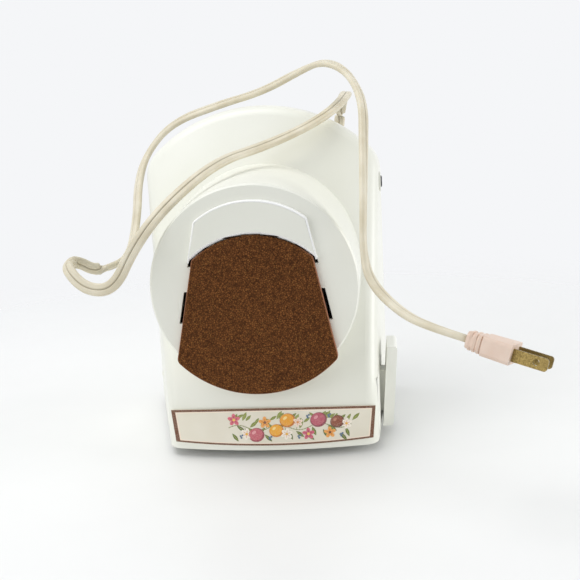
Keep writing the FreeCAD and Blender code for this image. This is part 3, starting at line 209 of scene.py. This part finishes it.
# ---- plastics --------------------------------------------------------------
# Two plastics that are each used twice: light and dark tone, roughness, and
# for the housing the grain's size and depth in millimetres.
HOUSING_ABS = ("#ecece2", "#e7e7db", 0.33, 0.8, 0.02)
CORD_PVC = ("#ddd5bf", "#cfc5ab", 0.4)
# The lid's pale edges are a painted highlight.
LID_HIGHLIGHT_TOP = (0.119, 0.126)              # the pale edges fade out between these heights


def moulded_abs(name, light, dark, roughness, grain_size, grain_depth):
    """Injection-moulded ABS: even colour with a faint drift, fine spark grain."""
    material, tree, shader, where = start_material(name)
    drift = ramp(tree, noise(tree, where, 70, 2.0), 0.35, 0.65)
    grain = noise(tree, where, grain_size, 3.0, Roughness=0.6)
    feed(tree, shader, {
        "Base Color": blend_colours(tree, drift, linear(light), linear(dark)),
        "Roughness": ramp(tree, grain, 0.3, 0.7, roughness - 0.05, roughness + 0.06),
        "Normal": relief(tree, grain, grain_depth),
        "IOR": 1.53})
    return material


def edge_lit_abs():
    """The visor's moulding: the housing's ABS, with a white painted highlight
    where a face turns away from the front, so that its bevels stand out."""
    material = moulded_abs("edge_lit_abs", *HOUSING_ABS)
    tree, shader, plain = reopen(material)
    # Painted highlight: faces that turn from the front are painted white.
    edge_highlight = ramp(tree, facing_y(tree), -0.97, -0.85)
    feed(tree, shader, {"Base Color": blend_colours(tree, edge_highlight, plain, linear("#ffffff"))})
    return material


def leather_grain_styrene():
    """Brown polystyrene moulded with a hide grain and a little gold mica in
    it: dark valleys, warm pebbles, scattered gold flecks, and a painted
    highlight on the edges that turn from the front, left off along the top."""
    material, tree, shader, where = start_material("leather_grain_styrene")
    warp = add(tree, "TexNoise", {"Vector": where, "Scale": per_mm(2.2), "Detail": 2.0})
    shifted = add(tree, "VectorMath", {0: warp.outputs["Color"], 1: (0.9 * MM,) * 3},
                  operation="MULTIPLY")
    spot = add(tree, "VectorMath", {0: where, 1: shifted.outputs["Vector"]}, operation="ADD")
    pebble = add(tree, "TexVoronoi", {"Vector": spot.outputs["Vector"], "Scale": per_mm(1.15)},
                 feature="DISTANCE_TO_EDGE")
    height = ramp(tree, pebble.outputs["Distance"], 0.0, 0.22)
    cloud = ramp(tree, noise(tree, where, 1.1, 3.0), 0.36, 0.66)
    fleck = add(tree, "TexVoronoi", {"Vector": where, "Scale": per_mm(0.95)}, feature="F1")
    patch = ramp(tree, noise(tree, where, 5.0, 1.0), 0.42, 0.62, 0.1, 0.8)
    gold = product(tree, ramp(tree, fleck.outputs["Distance"], 0.24, 0.12), patch)
    place = add(tree, "SeparateXYZ", {0: where})
    # Painted highlight: faces that turn from the front, below the lid's top, are painted a pale
    # pinkish brown.
    edge_highlight = product(tree, ramp(tree, facing_y(tree), -0.93, -0.6),
                   ramp(tree, place.outputs["Z"], *LID_HIGHLIGHT_TOP, 1.0, 0.0))
    tone = blend_colours(tree, cloud, linear("#542e0f"), linear("#875429"))
    tone = blend_colours(tree, height, linear("#3b1f08"), tone)
    tone = blend_colours(tree, gold, tone, linear("#a97c40"))
    tone = blend_colours(tree, edge_highlight, tone, linear("#a06f55"))
    feed(tree, shader, {
        "Base Color": tone,
        "Roughness": ramp(tree, height, 0.0, 1.0, 0.78, 0.62),
        "Normal": relief(tree, height, 0.12, 0.8),
        "IOR": 1.59,
        "Specular IOR Level": 0.1})
    return material


def soft_pvc(name, light, dark, roughness):
    """Plasticised PVC: waxy, a little translucent, slightly uneven in tone."""
    material, tree, shader, where = start_material(name)
    drift = ramp(tree, noise(tree, where, 14, 3.0), 0.35, 0.65)
    skin = noise(tree, where, 0.9, 2.0)
    feed(tree, shader, {
        "Base Color": blend_colours(tree, drift, linear(light), linear(dark)),
        "Roughness": ramp(tree, skin, 0.3, 0.7, roughness - 0.06, roughness + 0.06),
        "Normal": relief(tree, skin, 0.03, 0.7),
        "Subsurface Weight": 0.08,
        "Subsurface Radius": (0.002, 0.0015, 0.001),
        "IOR": 1.52})
    return material


def flat_cord_vinyl():
    """The twin cord's PVC, with painted shade in the groove between its two leads."""
    material = soft_pvc("flat_cord_vinyl", *CORD_PVC)
    tree, shader, plain = reopen(material)
    groove = add(tree, "Attribute", attribute_name="groove")
    # Painted shade: the groove is darkened towards a grey-brown where it lies deepest.
    groove_shade = ramp(tree, groove.outputs["Fac"], 0.1, 0.9, 0.0, 0.6)
    feed(tree, shader, {"Base Color": blend_colours(tree, groove_shade, plain, linear("#7d7156"))})
    return material


def rubber():
    """Moulded nitrile rubber: dull, dark grey with a paler bloom."""
    material, tree, shader, where = start_material("moulded_rubber")
    bloom = noise(tree, where, 3.0, 4.0)
    feed(tree, shader, {
        "Base Color": blend_colours(tree, ramp(tree, bloom, 0.4, 0.7),
                                    linear("#4b4b4a"), linear("#63625f")),
        "Roughness": 0.75,
        "Normal": relief(tree, bloom, 0.05)})
    return material


def natural_nylon():
    """Unfilled nylon 6 gear stock: milky, soft gloss, light passes a little."""
    material, tree, shader, where = start_material("natural_nylon")
    cloud = noise(tree, where, 6.0, 2.0)
    feed(tree, shader, {
        "Base Color": blend_colours(tree, cloud, linear("#efe9d6"), linear("#dfd6bd")),
        "Roughness": 0.42,
        "Subsurface Weight": 0.15,
        "Subsurface Radius": (0.003, 0.0024, 0.0016)})
    return material


def phenolic_board():
    """Paper-based phenolic board: brown resin with a fibrous mottle."""
    material, tree, shader, where = start_material("phenolic_board")
    fibre = add(tree, "Mapping", {"Vector": where, "Scale": (1.0, 1.0, 6.0)})
    mottle = noise(tree, fibre.outputs["Vector"], 4.0, 5.0)
    feed(tree, shader, {
        "Base Color": blend_colours(tree, mottle, linear("#7a4a22"), linear("#a56c37")),
        "Roughness": 0.5})
    return material


def printed_foil():
    """Cream lacquered foil under the name plate's print, satin and even."""
    material, tree, shader, where = start_material("printed_foil")
    drift = ramp(tree, noise(tree, where, 25, 2.0), 0.35, 0.65)
    tooth = noise(tree, where, 0.5, 2.0)
    feed(tree, shader, {
        "Base Color": blend_colours(tree, drift, linear("#e9e3d3"), linear("#e2dbc8")),
        "Roughness": ramp(tree, tooth, 0.3, 0.7, 0.36, 0.5)})
    return material


def screen_ink():
    """Screen-printed ink, each motif in its own colour, thinly specked."""
    material, tree, shader, where = start_material("screen_ink")
    colour = add(tree, "Attribute", attribute_name="ink").outputs["Color"]
    specks = ramp(tree, noise(tree, where, 0.7, 2.0), 0.4, 0.75, 0.0, 0.18)
    feed(tree, shader, {
        "Base Color": blend_colours(tree, specks, colour, linear("#efe6d4")),
        "Roughness": 0.45})
    return material


# ---- metals and carbon -----------------------------------------------------
# The band wave runs through 20 radians for each unit of its scale, or 10 on
# the diagonal, so its bands are broader than the sizes given to per_mm.
WAVE_RADIANS = 20.0


def rolled_metal(name, light, dark, roughness, lay=(1.0, 1.0, 12.0)):
    """Rolled or turned metal with a patchy polish, streaked along the axes
    on which lay is small."""
    material, tree, shader, where = start_material(name)
    stretched = add(tree, "Mapping", {"Vector": where, "Scale": lay})
    streak = noise(tree, stretched.outputs["Vector"], 2.5, 4.0)
    feed(tree, shader, {
        "Base Color": blend_colours(tree, ramp(tree, streak, 0.3, 0.7),
                                    linear(light), linear(dark)),
        "Roughness": ramp(tree, streak, 0.3, 0.7, roughness - 0.08, roughness + 0.1),
        "Metallic": 1.0,
        "Normal": relief(tree, streak, 0.015, 0.6)})
    return material


def laminated_core():
    """Stack of punched electrical steel under a dark blue-grey varnish, its
    sheets drawn coarsely as bands that repeat every 5.7 mm."""
    material, tree, shader, where = start_material("laminated_core")
    sheets = add(tree, "TexWave", {"Vector": where, "Scale": per_mm(0.9) / WAVE_RADIANS},
                 wave_type="BANDS", bands_direction="Y").outputs["Fac"]
    feed(tree, shader, {
        "Base Color": blend_colours(tree, sheets, linear("#3e4145"), linear("#777a7d")),
        "Metallic": 0.8,
        "Roughness": 0.45,
        "Normal": relief(tree, sheets, 0.08)})
    return material


def enamelled_winding():
    """Enamelled copper wire, its turns drawn coarsely as slanting bands that
    repeat every 8 mm or more."""
    material, tree, shader, where = start_material("enamelled_winding")
    turns = add(tree, "TexWave", {"Vector": where, "Scale": per_mm(1.1) / WAVE_RADIANS,
                                  "Distortion": 0.6, "Detail": 1.0},
                wave_type="BANDS", bands_direction="DIAGONAL").outputs["Fac"]
    feed(tree, shader, {
        "Base Color": blend_colours(tree, turns, linear("#5c2812"), linear("#b86434")),
        "Metallic": 0.7,
        "Roughness": 0.3,
        "Normal": relief(tree, turns, 0.25)})
    return material


def pressed_carbon():
    """Pressed carbon of the brushes: grey-black and dull, with a fine grit."""
    material, tree, shader, where = start_material("pressed_carbon")
    grit = noise(tree, where, 0.5, 3.0)
    feed(tree, shader, {
        "Base Color": blend_colours(tree, grit, linear("#1d1d1e"), linear("#3a3a3b")),
        "Roughness": 0.55})
    return material


dress(moulded_abs("glossy_abs", *HOUSING_ABS), "front_housing", "rear_cover")
# Painted light: the drawer is moulded in the housing's plastic, painted whiter here to stand in
# for the light on it.
dress(moulded_abs("drawer_abs_painted_whiter", "#f8f8f1", "#f3f3ea", 0.4, 0.8, 0.02), "ice_drawer")
dress(edge_lit_abs(), "visor_panel")
dress(moulded_abs("satin_abs", "#dcdcd6", "#d3d3cc", 0.45, 0.6, 0.03),
      "base_plate", "drawer_guides", "bulkhead", "ice_ramp")
dress(leather_grain_styrene(), "lid")
dress(printed_foil(), "label_plate")
dress(moulded_abs("black_abs", "#191a1b", "#212224", 0.25, 0.5, 0.01),
      "power_button", "switch_body", "cooling_fan")
dress(moulded_abs("white_abs", "#e9e9e0", "#e2e2d8", 0.3, 0.5, 0.01), "switch_bezel")
dress(rubber(), "feet")
dress(natural_nylon(), "idler_gear")
dress(phenolic_board(), "brush_plate")
dress(rolled_metal("browned_steel", "#3d2b1f", "#2a1d15", 0.5), "lid_hinge_pin")
dress(rolled_metal("zinc_plated_steel", "#c9cccd", "#9da1a4", 0.3),
      "bulkhead_screws", "blade_spacers", "blade_nut", "bearing_bridge", "bridge_posts",
      "bridge_screws", "output_gear", "idler_pin", "gearbox_posts", "motor_plate",
      "plate_screws", "motor_bracket", "motor_sleeves", "motor_bolts", "cover_screws",
      "base_screws")
dress(rolled_metal("stainless_blade", "#d4d6d6", "#aeb1b2", 0.24, (10.0, 1.0, 1.0)),
      "crushing_comb", "crusher_blade_front", "crusher_blade_middle",
      "crusher_blade_rear", "blade_shaft", "armature_shaft")
dress(rolled_metal("rolled_brass", "#a38d58", "#6f5f38", 0.36, (4.0, 1.0, 4.0)),
      "shaft_bushing_front", "shaft_bushing_rear", "motor_bushings", "motor_pinion",
      "brush_holders", "plug_pins")
dress(laminated_core(), "stator_core", "armature_core")
dress(enamelled_winding(), "field_coils", "armature_windings", "commutator")
dress(pressed_carbon(), "carbon_brushes")
dress(soft_pvc("cord_vinyl", *CORD_PVC), "strain_relief", "power_cord")
dress(soft_pvc("plug_vinyl", "#dfc9b8", "#d6bba8", 0.45), "plug_body")


# ---- cord ------------------------------------------------------------------
CORD_ROUTE = [
    (0.04355, 0.0847, 0.152), (0.04405, 0.0987, 0.163), (0.04555, 0.1087, 0.181),
    (0.04855, 0.0947, 0.194), (0.05255, 0.0647, 0.198), (0.04455, 0.0267, 0.1905),
    (0.02655, 0.0107, 0.181), (0.00155, 0.0027, 0.172), (-0.02245, -0.0313, 0.168),
    (-0.04845, -0.0633, 0.148), (-0.06445, -0.0733, 0.128), (-0.07645, -0.0733, 0.1055),
    (-0.09345, -0.0693, 0.105), (-0.10645, -0.0613, 0.117), (-0.10345, -0.0463, 0.117),
    (-0.09345, -0.0393, 0.1085), (-0.08045, -0.0113, 0.110), (-0.08045, 0.0187, 0.130),
    (-0.08645, 0.0567, 0.146), (-0.08445, 0.0807, 0.162), (-0.06645, 0.0847, 0.182),
    (-0.03245, 0.0787, 0.193), (-0.00245, 0.0587, 0.201), (0.02355, 0.0487, 0.2135),
    (0.03955, 0.0347, 0.2195), (0.05355, 0.0187, 0.213), (0.06255, -0.0113, 0.198),
    (0.06205, -0.0413, 0.176), (0.06105, -0.0673, 0.146), (0.06005, -0.0793, 0.124),
    (0.06355, -0.0873, 0.108), (0.07955, -0.1083, 0.096), (0.09505, -0.123, 0.0921),
    (0.11035, -0.1293, 0.0883),
]
CORD_WIDTH = 7.2 * MM
CORD_THICK = 3.6 * MM
GROOVE_DEPTH = 0.8 * MM
GROOVE_HALF = 0.33 * MM
SECTION_STEPS = 96
# How fast the section's centre crosses over: above 1 it rests in each lobe,
# which keeps them round.
LOBE_SWEEP = 1.9
# Where the cord's flat side looks at points of the route, numbered from 0.
FLAT_LOOKS = [
    (0, (0.0, -0.6, 0.8)), (3, (0.1, 0.2, 1.0)), (5, (0.1, -0.3, 1.0)),
    (8, (-0.1, -0.7, 0.7)), (11, (0.0, -1.0, 0.3)), (13, (-0.2, -1.0, 0.2)),
    (16, (-0.6, -0.8, 0.2)), (19, (-0.7, -0.3, 0.7)), (22, (0.0, -0.5, 0.9)),
    (24, (0.2, -0.5, 0.9)), (26, (0.8, -0.4, 0.5)), (29, (1.0, -0.1, 0.1)),
    (31, (0.5, -0.3, 0.8)), (33, (0.15, 0.16, 0.97)),
]


def cord_centreline():
    """Points along the smooth spline that the cord's route controls."""
    data = bpy.data.curves.new("cord_route", "CURVE")
    data.dimensions = "3D"
    data.resolution_u = 12
    spline = data.splines.new("NURBS")
    spline.points.add(len(CORD_ROUTE) - 1)
    for point, place in zip(spline.points, CORD_ROUTE):
        point.co = (*place, 1.0)
    spline.order_u = 3
    spline.use_endpoint_u = True
    holder = bpy.data.objects.new("cord_route", data)
    bpy.context.scene.collection.objects.link(holder)
    bpy.context.view_layer.update()
    mesh = bpy.data.meshes.new_from_object(holder)
    points = [v.co.copy() for v in mesh.vertices]
    bpy.data.objects.remove(holder)
    bpy.data.curves.remove(data)
    bpy.data.meshes.remove(mesh)
    return points


def flat_look(share):
    """The direction that the flat side looks at a share of the route."""
    at = share * (len(CORD_ROUTE) - 1)
    for (first, a), (second, b) in zip(FLAT_LOOKS, FLAT_LOOKS[1:]):
        if at <= second:
            t = (at - first) / (second - first)
            t = t * t * (3 - 2 * t)
            return Vector(a).lerp(Vector(b), t).normalized()
    return Vector(FLAT_LOOKS[-1][1])


def groove_share(x):
    """How far into the groove the section is at x: 1 in its middle."""
    return math.exp(-((x / GROOVE_HALF) ** 2))


def cord_section():
    """Twin-conductor section: two round lobes with a groove between them."""
    ring = []
    lobe = CORD_THICK / 2.0
    reach = CORD_WIDTH / 2.0 - lobe
    for step in range(SECTION_STEPS):
        angle = 2 * math.pi * (step + 0.5) / SECTION_STEPS
        c, s = math.cos(angle), math.sin(angle)
        x = reach * max(-1.0, min(1.0, LOBE_SWEEP * c)) + lobe * c
        ring.append((x, (lobe - GROOVE_DEPTH * groove_share(x)) * s))
    return ring


def lay_cord():
    """The flat mains cord along its route, with its groove's depth on it."""
    points = cord_centreline()
    section = cord_section()
    bm = bmesh.new()
    layer = bm.verts.layers.float.new("groove")
    loops = []
    for i, point in enumerate(points):
        ahead = heading(points, i)
        across = ahead.cross(flat_look(i / (len(points) - 1))).normalized()
        out = across.cross(ahead)
        loop = [bm.verts.new(point + across * x + out * y) for x, y in section]
        for vert, (x, y) in zip(loop, section):
            vert[layer] = groove_share(x)
        loops.append(loop)
    skin_tube(bm, loops)
    cord = new_piece("flat_mains_cord", bm, flat_cord_vinyl())
    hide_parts("power_cord")


lay_cord()


# ---- name plate: border and fruit-and-flower print -------------------------
PLATE_AXIS = (5.05 * MM, 199.7 * MM)       # upright axis of the plate's bow
PLATE_FACE_R = 260.8 * MM
# The plate laid flat, in millimetres: lower and upper edge, the half width of
# each, and how far the upper one crowns and the lower one sags.
PLATE_LOW = 9.3
PLATE_HIGH = 28.6
PLATE_HALF_LOW = 57.3
PLATE_HALF_HIGH = 59.1
PLATE_CROWN = 2.3
PLATE_SAG = 1.2
# The print's layers over the plate's face, the lowest first. Petals overlap,
# so they lie a step apart.
STEM_LIFT = 0.04 * MM
LEAF_LIFT = 0.05 * MM
VEIN_LIFT = 0.09 * MM
PETAL_LIFT = 0.12 * MM
PETAL_STEP = 0.0075 * MM
SHADE_LIFT = 0.13 * MM
BODY_LIFT = 0.16 * MM
TOP_LIFT = 0.19 * MM
INK_THICK = 0.04 * MM
# Each band's outer and inner insets on the left, right, top and bottom, and
# its colour: the brown rim and the pale halo inside it.
BORDER_BANDS = [
    ((0.1, 0.1, 0.1, 0.1), (2.5, 2.1, 1.5, 1.15), "#6b4025"),
    ((2.5, 2.1, 1.5, 1.15), (3.3, 2.8, 2.1, 1.7), "#f4e3cf"),
]


def on_plate(x, z, lift):
    """A point of the bowed plate from flat millimetres, x from its middle."""
    across = x * MM
    radius = PLATE_FACE_R + lift
    y = PLATE_AXIS[1] - math.sqrt(radius ** 2 - across ** 2)
    return Vector((PLATE_AXIS[0] + across, y, z * MM))


def plate_outline(inset_left, inset_right, inset_top, inset_low, steps=28):
    """The plate's outline in flat millimetres, drawn in on each side."""
    points = []
    for half, height, bow, way in (
            (PLATE_HALF_LOW, PLATE_LOW + inset_low, -PLATE_SAG, 1),
            (PLATE_HALF_HIGH, PLATE_HIGH - inset_top, PLATE_CROWN, -1)):
        left = inset_left - half
        right = half - inset_right
        for k in range(steps + 1):
            t = way * (2.0 * k / steps - 1.0)
            x = (left + right) / 2 + t * (right - left) / 2
            points.append((x, height + bow * (1 - (x / half) ** 2)))
    return points


def plate_border():
    """The printed rim and halo, in a new bmesh with its colour layer."""
    bm = bmesh.new()
    layer = bm.verts.layers.float_color.new("ink")
    for outer, inner, colour in BORDER_BANDS:
        edges = []
        for insets in (outer, inner):
            loop = [bm.verts.new(on_plate(x, z, LEAF_LIFT)) for x, z in plate_outline(*insets)]
            for vert in loop:
                vert[layer] = linear(colour)
            edges += [bm.edges.new((a, b)) for a, b in zip(loop, loop[1:] + loop[:1])]
        bmesh.ops.bridge_loops(bm, edges=edges)
    return bm, layer


def flat_ellipse(bm, layer, x, z, long_half, short_half, turn, colour, lift,
                 pointed=0.0, segments=14):
    """One inked shape: an ellipse, its ends drawn out by the pointed share."""
    made = bmesh.ops.create_circle(bm, cap_ends=True, segments=segments, radius=1.0)
    c, s = math.cos(turn), math.sin(turn)
    for vert in made["verts"]:
        u, v = vert.co.x, vert.co.y
        v *= 1.0 - pointed * u * u
        u *= 1.0 + 0.25 * pointed
        u *= long_half
        v *= short_half
        vert.co = on_plate(x + u * c - v * s, z + u * s + v * c, lift)
        vert[layer] = linear(colour)


def leaf(bm, layer, x, z, size, turn, colour):
    """A pointed leaf with a paler midrib."""
    flat_ellipse(bm, layer, x, z, size, size * 0.42, turn, colour, LEAF_LIFT, 0.75)
    flat_ellipse(bm, layer, x, z, size * 0.8, size * 0.05, turn, "#a3a95c", VEIN_LIFT)


def blossom(bm, layer, x, z, size, petals, colour, heart, shade):
    """Overlapping petals, each with a shaded streak, round a small heart."""
    for k in range(petals):
        a = 2 * math.pi * k / petals + 0.35
        c, s = math.cos(a), math.sin(a)
        flat_ellipse(bm, layer, x + size * 0.62 * c, z + size * 0.62 * s, size * 0.46,
                     size * 0.32, a, colour, PETAL_LIFT + PETAL_STEP * (k % 3))
        flat_ellipse(bm, layer, x + size * 0.45 * c, z + size * 0.45 * s, size * 0.26,
                     size * 0.09, a, shade, BODY_LIFT)
    flat_ellipse(bm, layer, x, z, size * 0.24, size * 0.24, 0.0, heart, TOP_LIFT)


def round_fruit(bm, layer, x, z, size, colour, shade, light):
    """A shaded disc, the fruit's body a little up and left on it, a gleam."""
    flat_ellipse(bm, layer, x, z, size, size * 0.92, 0.3, shade, SHADE_LIFT, 0.0, 20)
    flat_ellipse(bm, layer, x - size * 0.08, z + size * 0.08, size * 0.86, size * 0.78, 0.3,
                 colour, BODY_LIFT, 0.0, 20)
    flat_ellipse(bm, layer, x - size * 0.3, z + size * 0.32, size * 0.3, size * 0.18, 0.7,
                 light, TOP_LIFT)


def stem(bm, layer, start, end, half_width=0.16):
    """A thin stroke from start to end."""
    dx, dz = end[0] - start[0], end[1] - start[1]
    flat_ellipse(bm, layer, (start[0] + end[0]) / 2, (start[1] + end[1]) / 2,
                 math.hypot(dx, dz) / 2, half_width, math.atan2(dz, dx), "#7d8442", STEM_LIFT)


# The garland in flat millimetres: its span, the vine's middle height, sway and
# period, the length, spacing and half width of the vine's strokes, its leaves,
# and how many times their listed size the blossoms and fruit are drawn.
GARLAND_START = -25.5
GARLAND_END = 45.0
GARLAND_MID = 18.9
VINE_SWAY = 1.7
VINE_PERIOD = 23.4
STROKE_LENGTH = 1.7
STROKE_STEP = 1.6
STROKE_HALF = 0.24
LEAF_COUNT = 30
LEAF_STEP = 2.38
LEAF_GREENS = ("#66752a", "#7d8838", "#566627", "#8f9748")
MOTIF_SCALE = 1.16
# Place, rise over the vine, size, petals, and the colours of petal, heart and
# shade.
BLOSSOMS = (
    (-22.0, 3.6, 3.0, 5, "#d8657a", "#f0c85a", "#b5455e"),
    (-15.0, -4.2, 2.9, 6, "#f6eddf", "#e6b23c", "#e3b9a6"),
    (-4.2, 4.2, 2.9, 5, "#eda44c", "#7c4a24", "#d67f30"),
    (8.0, -4.6, 2.8, 6, "#f6eddf", "#e6b23c", "#e0bfae"),
    (14.6, 4.6, 2.4, 6, "#f3dccb", "#d98d3a", "#dfae98"),
    (20.4, -3.9, 2.9, 5, "#cf5a74", "#f0c85a", "#a93f5a"),
    (32.6, -4.3, 2.8, 5, "#eda44c", "#7c4a24", "#d67f30"),
    (42.2, 1.6, 2.6, 6, "#f6eddf", "#e6b23c", "#e3b9a6"),
)
# Place, rise over the vine, size, and the colours of body, shade and gleam.
FRUITS = (
    (-9.4, -2.6, 4.0, "#c4626e", "#9a4250", "#e3a0a4"),
    (2.2, -3.3, 3.6, "#eda829", "#cf7f1e", "#f8d98a"),
    (8.8, 3.9, 3.9, "#e8a02a", "#c4721a", "#f8d98a"),
    (26.4, 2.2, 4.1, "#b85668", "#8a3a4c", "#dc949c"),
    (37.0, 3.6, 3.5, "#8b4a33", "#643024", "#bb7f68"),
)
BERRY_CLUMPS = ((-18.6, 14.0), (-2.0, 13.0), (14.6, 13.4), (20.0, 25.4), (32.0, 25.2),
                (38.6, 13.2))
BERRY_OFFSETS = ((0.0, 0.0), (1.1, 0.5), (0.4, -1.0))


def vine(x):
    """Height of the garland's stem at x."""
    return GARLAND_MID + VINE_SWAY * math.sin((x - GARLAND_START) * 2 * math.pi / VINE_PERIOD)


def garland(bm, layer):
    """A wavy vine with leaves, blossoms and fruit hung thickly along it."""
    x = GARLAND_START
    while x < GARLAND_END - 1.0:
        end = x + STROKE_LENGTH
        stem(bm, layer, (x, vine(x)), (end, vine(end)), STROKE_HALF)
        x += STROKE_STEP
    # Lean and reach follow waves of their own, so that no two leaves match.
    for k in range(LEAF_COUNT):
        x = GARLAND_START + 0.6 + k * LEAF_STEP
        side = 1 if k % 2 else -1
        lean = side * (0.95 + 0.3 * math.sin(2.3 * k))
        reach = 4.0 + 1.5 * math.cos(1.7 * k)
        leaf(bm, layer, x + reach * math.cos(lean), vine(x) + reach * math.sin(lean) * 1.35,
             2.5, lean, LEAF_GREENS[k % 4])
        if k % 2 == 0:
            leaf(bm, layer, x + 1.8, vine(x) - side * 5.4, 2.0, -lean * 0.8, "#818c3c")
    for x, rise, size, petals, colour, heart, shade in BLOSSOMS:
        z = vine(x) + rise
        stem(bm, layer, (x - 1.0, vine(x)), (x, z))
        blossom(bm, layer, x, z, size * MOTIF_SCALE, petals, colour, heart, shade)
    for x, rise, size, colour, shade, light in FRUITS:
        z = vine(x) + rise
        stem(bm, layer, (x - 0.6, vine(x)), (x, z))
        leaf(bm, layer, x + size * 0.9, z + size * 0.7, 1.9, 0.7, "#66752a")
        leaf(bm, layer, x - size * 0.9, z + size * 0.8, 1.7, 2.4, "#7d8838")
        round_fruit(bm, layer, x, z, size * MOTIF_SCALE, colour, shade, light)
    for x, z in BERRY_CLUMPS:
        for dx, dz in BERRY_OFFSETS:
            flat_ellipse(bm, layer, x + dx, z + dz, 0.62, 0.6, 0.0, "#54708a",
                         SHADE_LIFT, 0.0, 10)


def print_plate():
    """The plate's print, all of it one thin film of ink."""
    bm, layer = plate_border()
    garland(bm, layer)
    bmesh.ops.recalc_face_normals(bm, faces=bm.faces)
    for face in bm.faces:
        if face.normal.y > 0:
            face.normal_flip()
    piece = new_piece("label_ink", bm, screen_ink(), smooth=False)
    wall = piece.modifiers.new("ink_film", "SOLIDIFY")
    wall.thickness = INK_THICK
    wall.offset = -1.0


print_plate()


# ---- visor: the raised bead along its panel --------------------------------
# Millimetres, in x and z round the drum's axis: the arc's radius and half
# width, and the lower ends of the two straight sides.
VISOR_AXIS = (-0.45, 102.0)
VISOR_ARC_R = 48.9
VISOR_ARC_HALF = 30.5
VISOR_SIDES = ((-35.2, 15.9), (35.2, 15.9))
BEAD_R = 0.55
BEAD_Y = -68.12
BEAD_STEPS = 12


def visor_outline(steps=48):
    """The panel's left side, arched top and right side, in metres."""
    reach = math.asin(VISOR_ARC_HALF / VISOR_ARC_R)
    points = [VISOR_SIDES[0]]
    for k in range(steps + 1):
        a = -reach + 2 * reach * k / steps
        points.append((VISOR_ARC_R * math.sin(a), VISOR_ARC_R * math.cos(a)))
    points.append(VISOR_SIDES[1])
    return [Vector((VISOR_AXIS[0] + x, BEAD_Y, VISOR_AXIS[1] + z)) * MM for x, z in points]


def visor_bead():
    """The round bead moulded along the panel's outline, painted pure white as a highlight."""
    points = visor_outline()
    out = Vector((0, -1, 0))
    turns = [2 * math.pi * k / BEAD_STEPS for k in range(BEAD_STEPS)]
    bm = bmesh.new()
    loops = []
    for i, point in enumerate(points):
        across = heading(points, i).cross(out).normalized()
        loops.append([bm.verts.new(point + (across * math.cos(a) + out * math.sin(a))
                                   * BEAD_R * MM) for a in turns])
    skin_tube(bm, loops)
    # Painted highlight: the bead is whiter than the housing's ABS, so that it shows as a lit
    # line.
    bead_highlight_abs = moulded_abs("bead_highlight_abs", "#ffffff", "#fbfbf6", 0.25, 0.6, 0.005)
    bead = new_piece("visor_bead", bm, bead_highlight_abs)


visor_bead()


# ---- studio ----------------------------------------------------------------
FLOOR_HALF = 3.0
FLOOR_FADE = (0.16, 0.55)                  # the paper fades out between these radii
BACKDROP = "#f5f6f8"
AMBIENT = "#f4f7fb"
AMBIENT_STRENGTH = 0.6
LAMP_TARGET = Vector((0, 0, 0.1))
# Name, place, side of the square in metres and power in watts.
LAMPS = (
    ("top_softbox", (-0.45, 0.0, 1.25), 0.9, 8.0),
    ("right_softbox", (1.5, -0.05, 0.35), 0.8, 11.0),
    ("left_softbox", (-1.0, -1.0, 0.5), 1.0, 5.4),
)


def sweep_paper():
    """White backdrop paper that turns clear away from the object."""
    material, tree, shader, where = start_material("white_sweep_paper")
    fibres = noise(tree, where, 40, 2.0)
    feed(tree, shader, {
        "Base Color": blend_colours(tree, fibres, linear("#f1f1ef"), linear("#f4f4f2")),
        "Roughness": 0.4})
    reach = add(tree, "VectorMath", {0: where}, operation="LENGTH")
    fade = add(tree, "MapRange", {"Value": reach.outputs["Value"], "From Min": FLOOR_FADE[0],
                                  "From Max": FLOOR_FADE[1]}, interpolation_type="SMOOTHSTEP")
    clear = add(tree, "BsdfTransparent")
    mix = add(tree, "MixShader", {0: fade.outputs["Result"], 1: shader.outputs[0],
                                  2: clear.outputs[0]})
    feed(tree, find(tree, "OUTPUT_MATERIAL"), {"Surface": mix.outputs[0]})
    return material


def lay_floor():
    """A flat square of backdrop paper under the object."""
    bm = bmesh.new()
    bmesh.ops.create_grid(bm, x_segments=1, y_segments=1, size=FLOOR_HALF)
    floor = mesh_object("floor", bm, sweep_paper())


def light_world():
    """Even light from all round, and a plain backdrop where it is seen."""
    world = bpy.data.worlds.new("studio")
    bpy.context.scene.world = world
    world.use_nodes = True
    tree = world.node_tree
    tree.nodes.clear()
    ambient = add(tree, "Background", {"Color": linear(AMBIENT), "Strength": AMBIENT_STRENGTH})
    backdrop = add(tree, "Background", {"Color": linear(BACKDROP), "Strength": 1.0})
    rays = add(tree, "LightPath")
    seen = add(tree, "Math", {0: rays.outputs["Is Camera Ray"], 1: rays.outputs["Is Glossy Ray"]},
               operation="MAXIMUM")
    seen = add(tree, "Math", {0: seen.outputs[0], 1: rays.outputs["Is Transmission Ray"]},
               operation="MAXIMUM")
    mix = add(tree, "MixShader", {0: seen.outputs[0], 1: ambient.outputs[0],
                                  2: backdrop.outputs[0]})
    add(tree, "OutputWorld", {"Surface": mix.outputs[0]})


def hang_lamp(name, place, side, power):
    """A square softbox that looks at the object."""
    data = bpy.data.lights.new(name, "AREA")
    data.shape = "SQUARE"
    data.size = side
    data.energy = power
    lamp = bpy.data.objects.new(name, data)
    bpy.context.scene.collection.objects.link(lamp)
    way = LAMP_TARGET - Vector(place)
    lamp.matrix_world = (Matrix.Translation(Vector(place))
                         @ way.to_track_quat("-Z", "Y").to_matrix().to_4x4())


lay_floor()
light_world()
for lamp_values in LAMPS:
    hang_lamp(*lamp_values)

bpy.context.scene.view_settings.view_transform = "Standard"
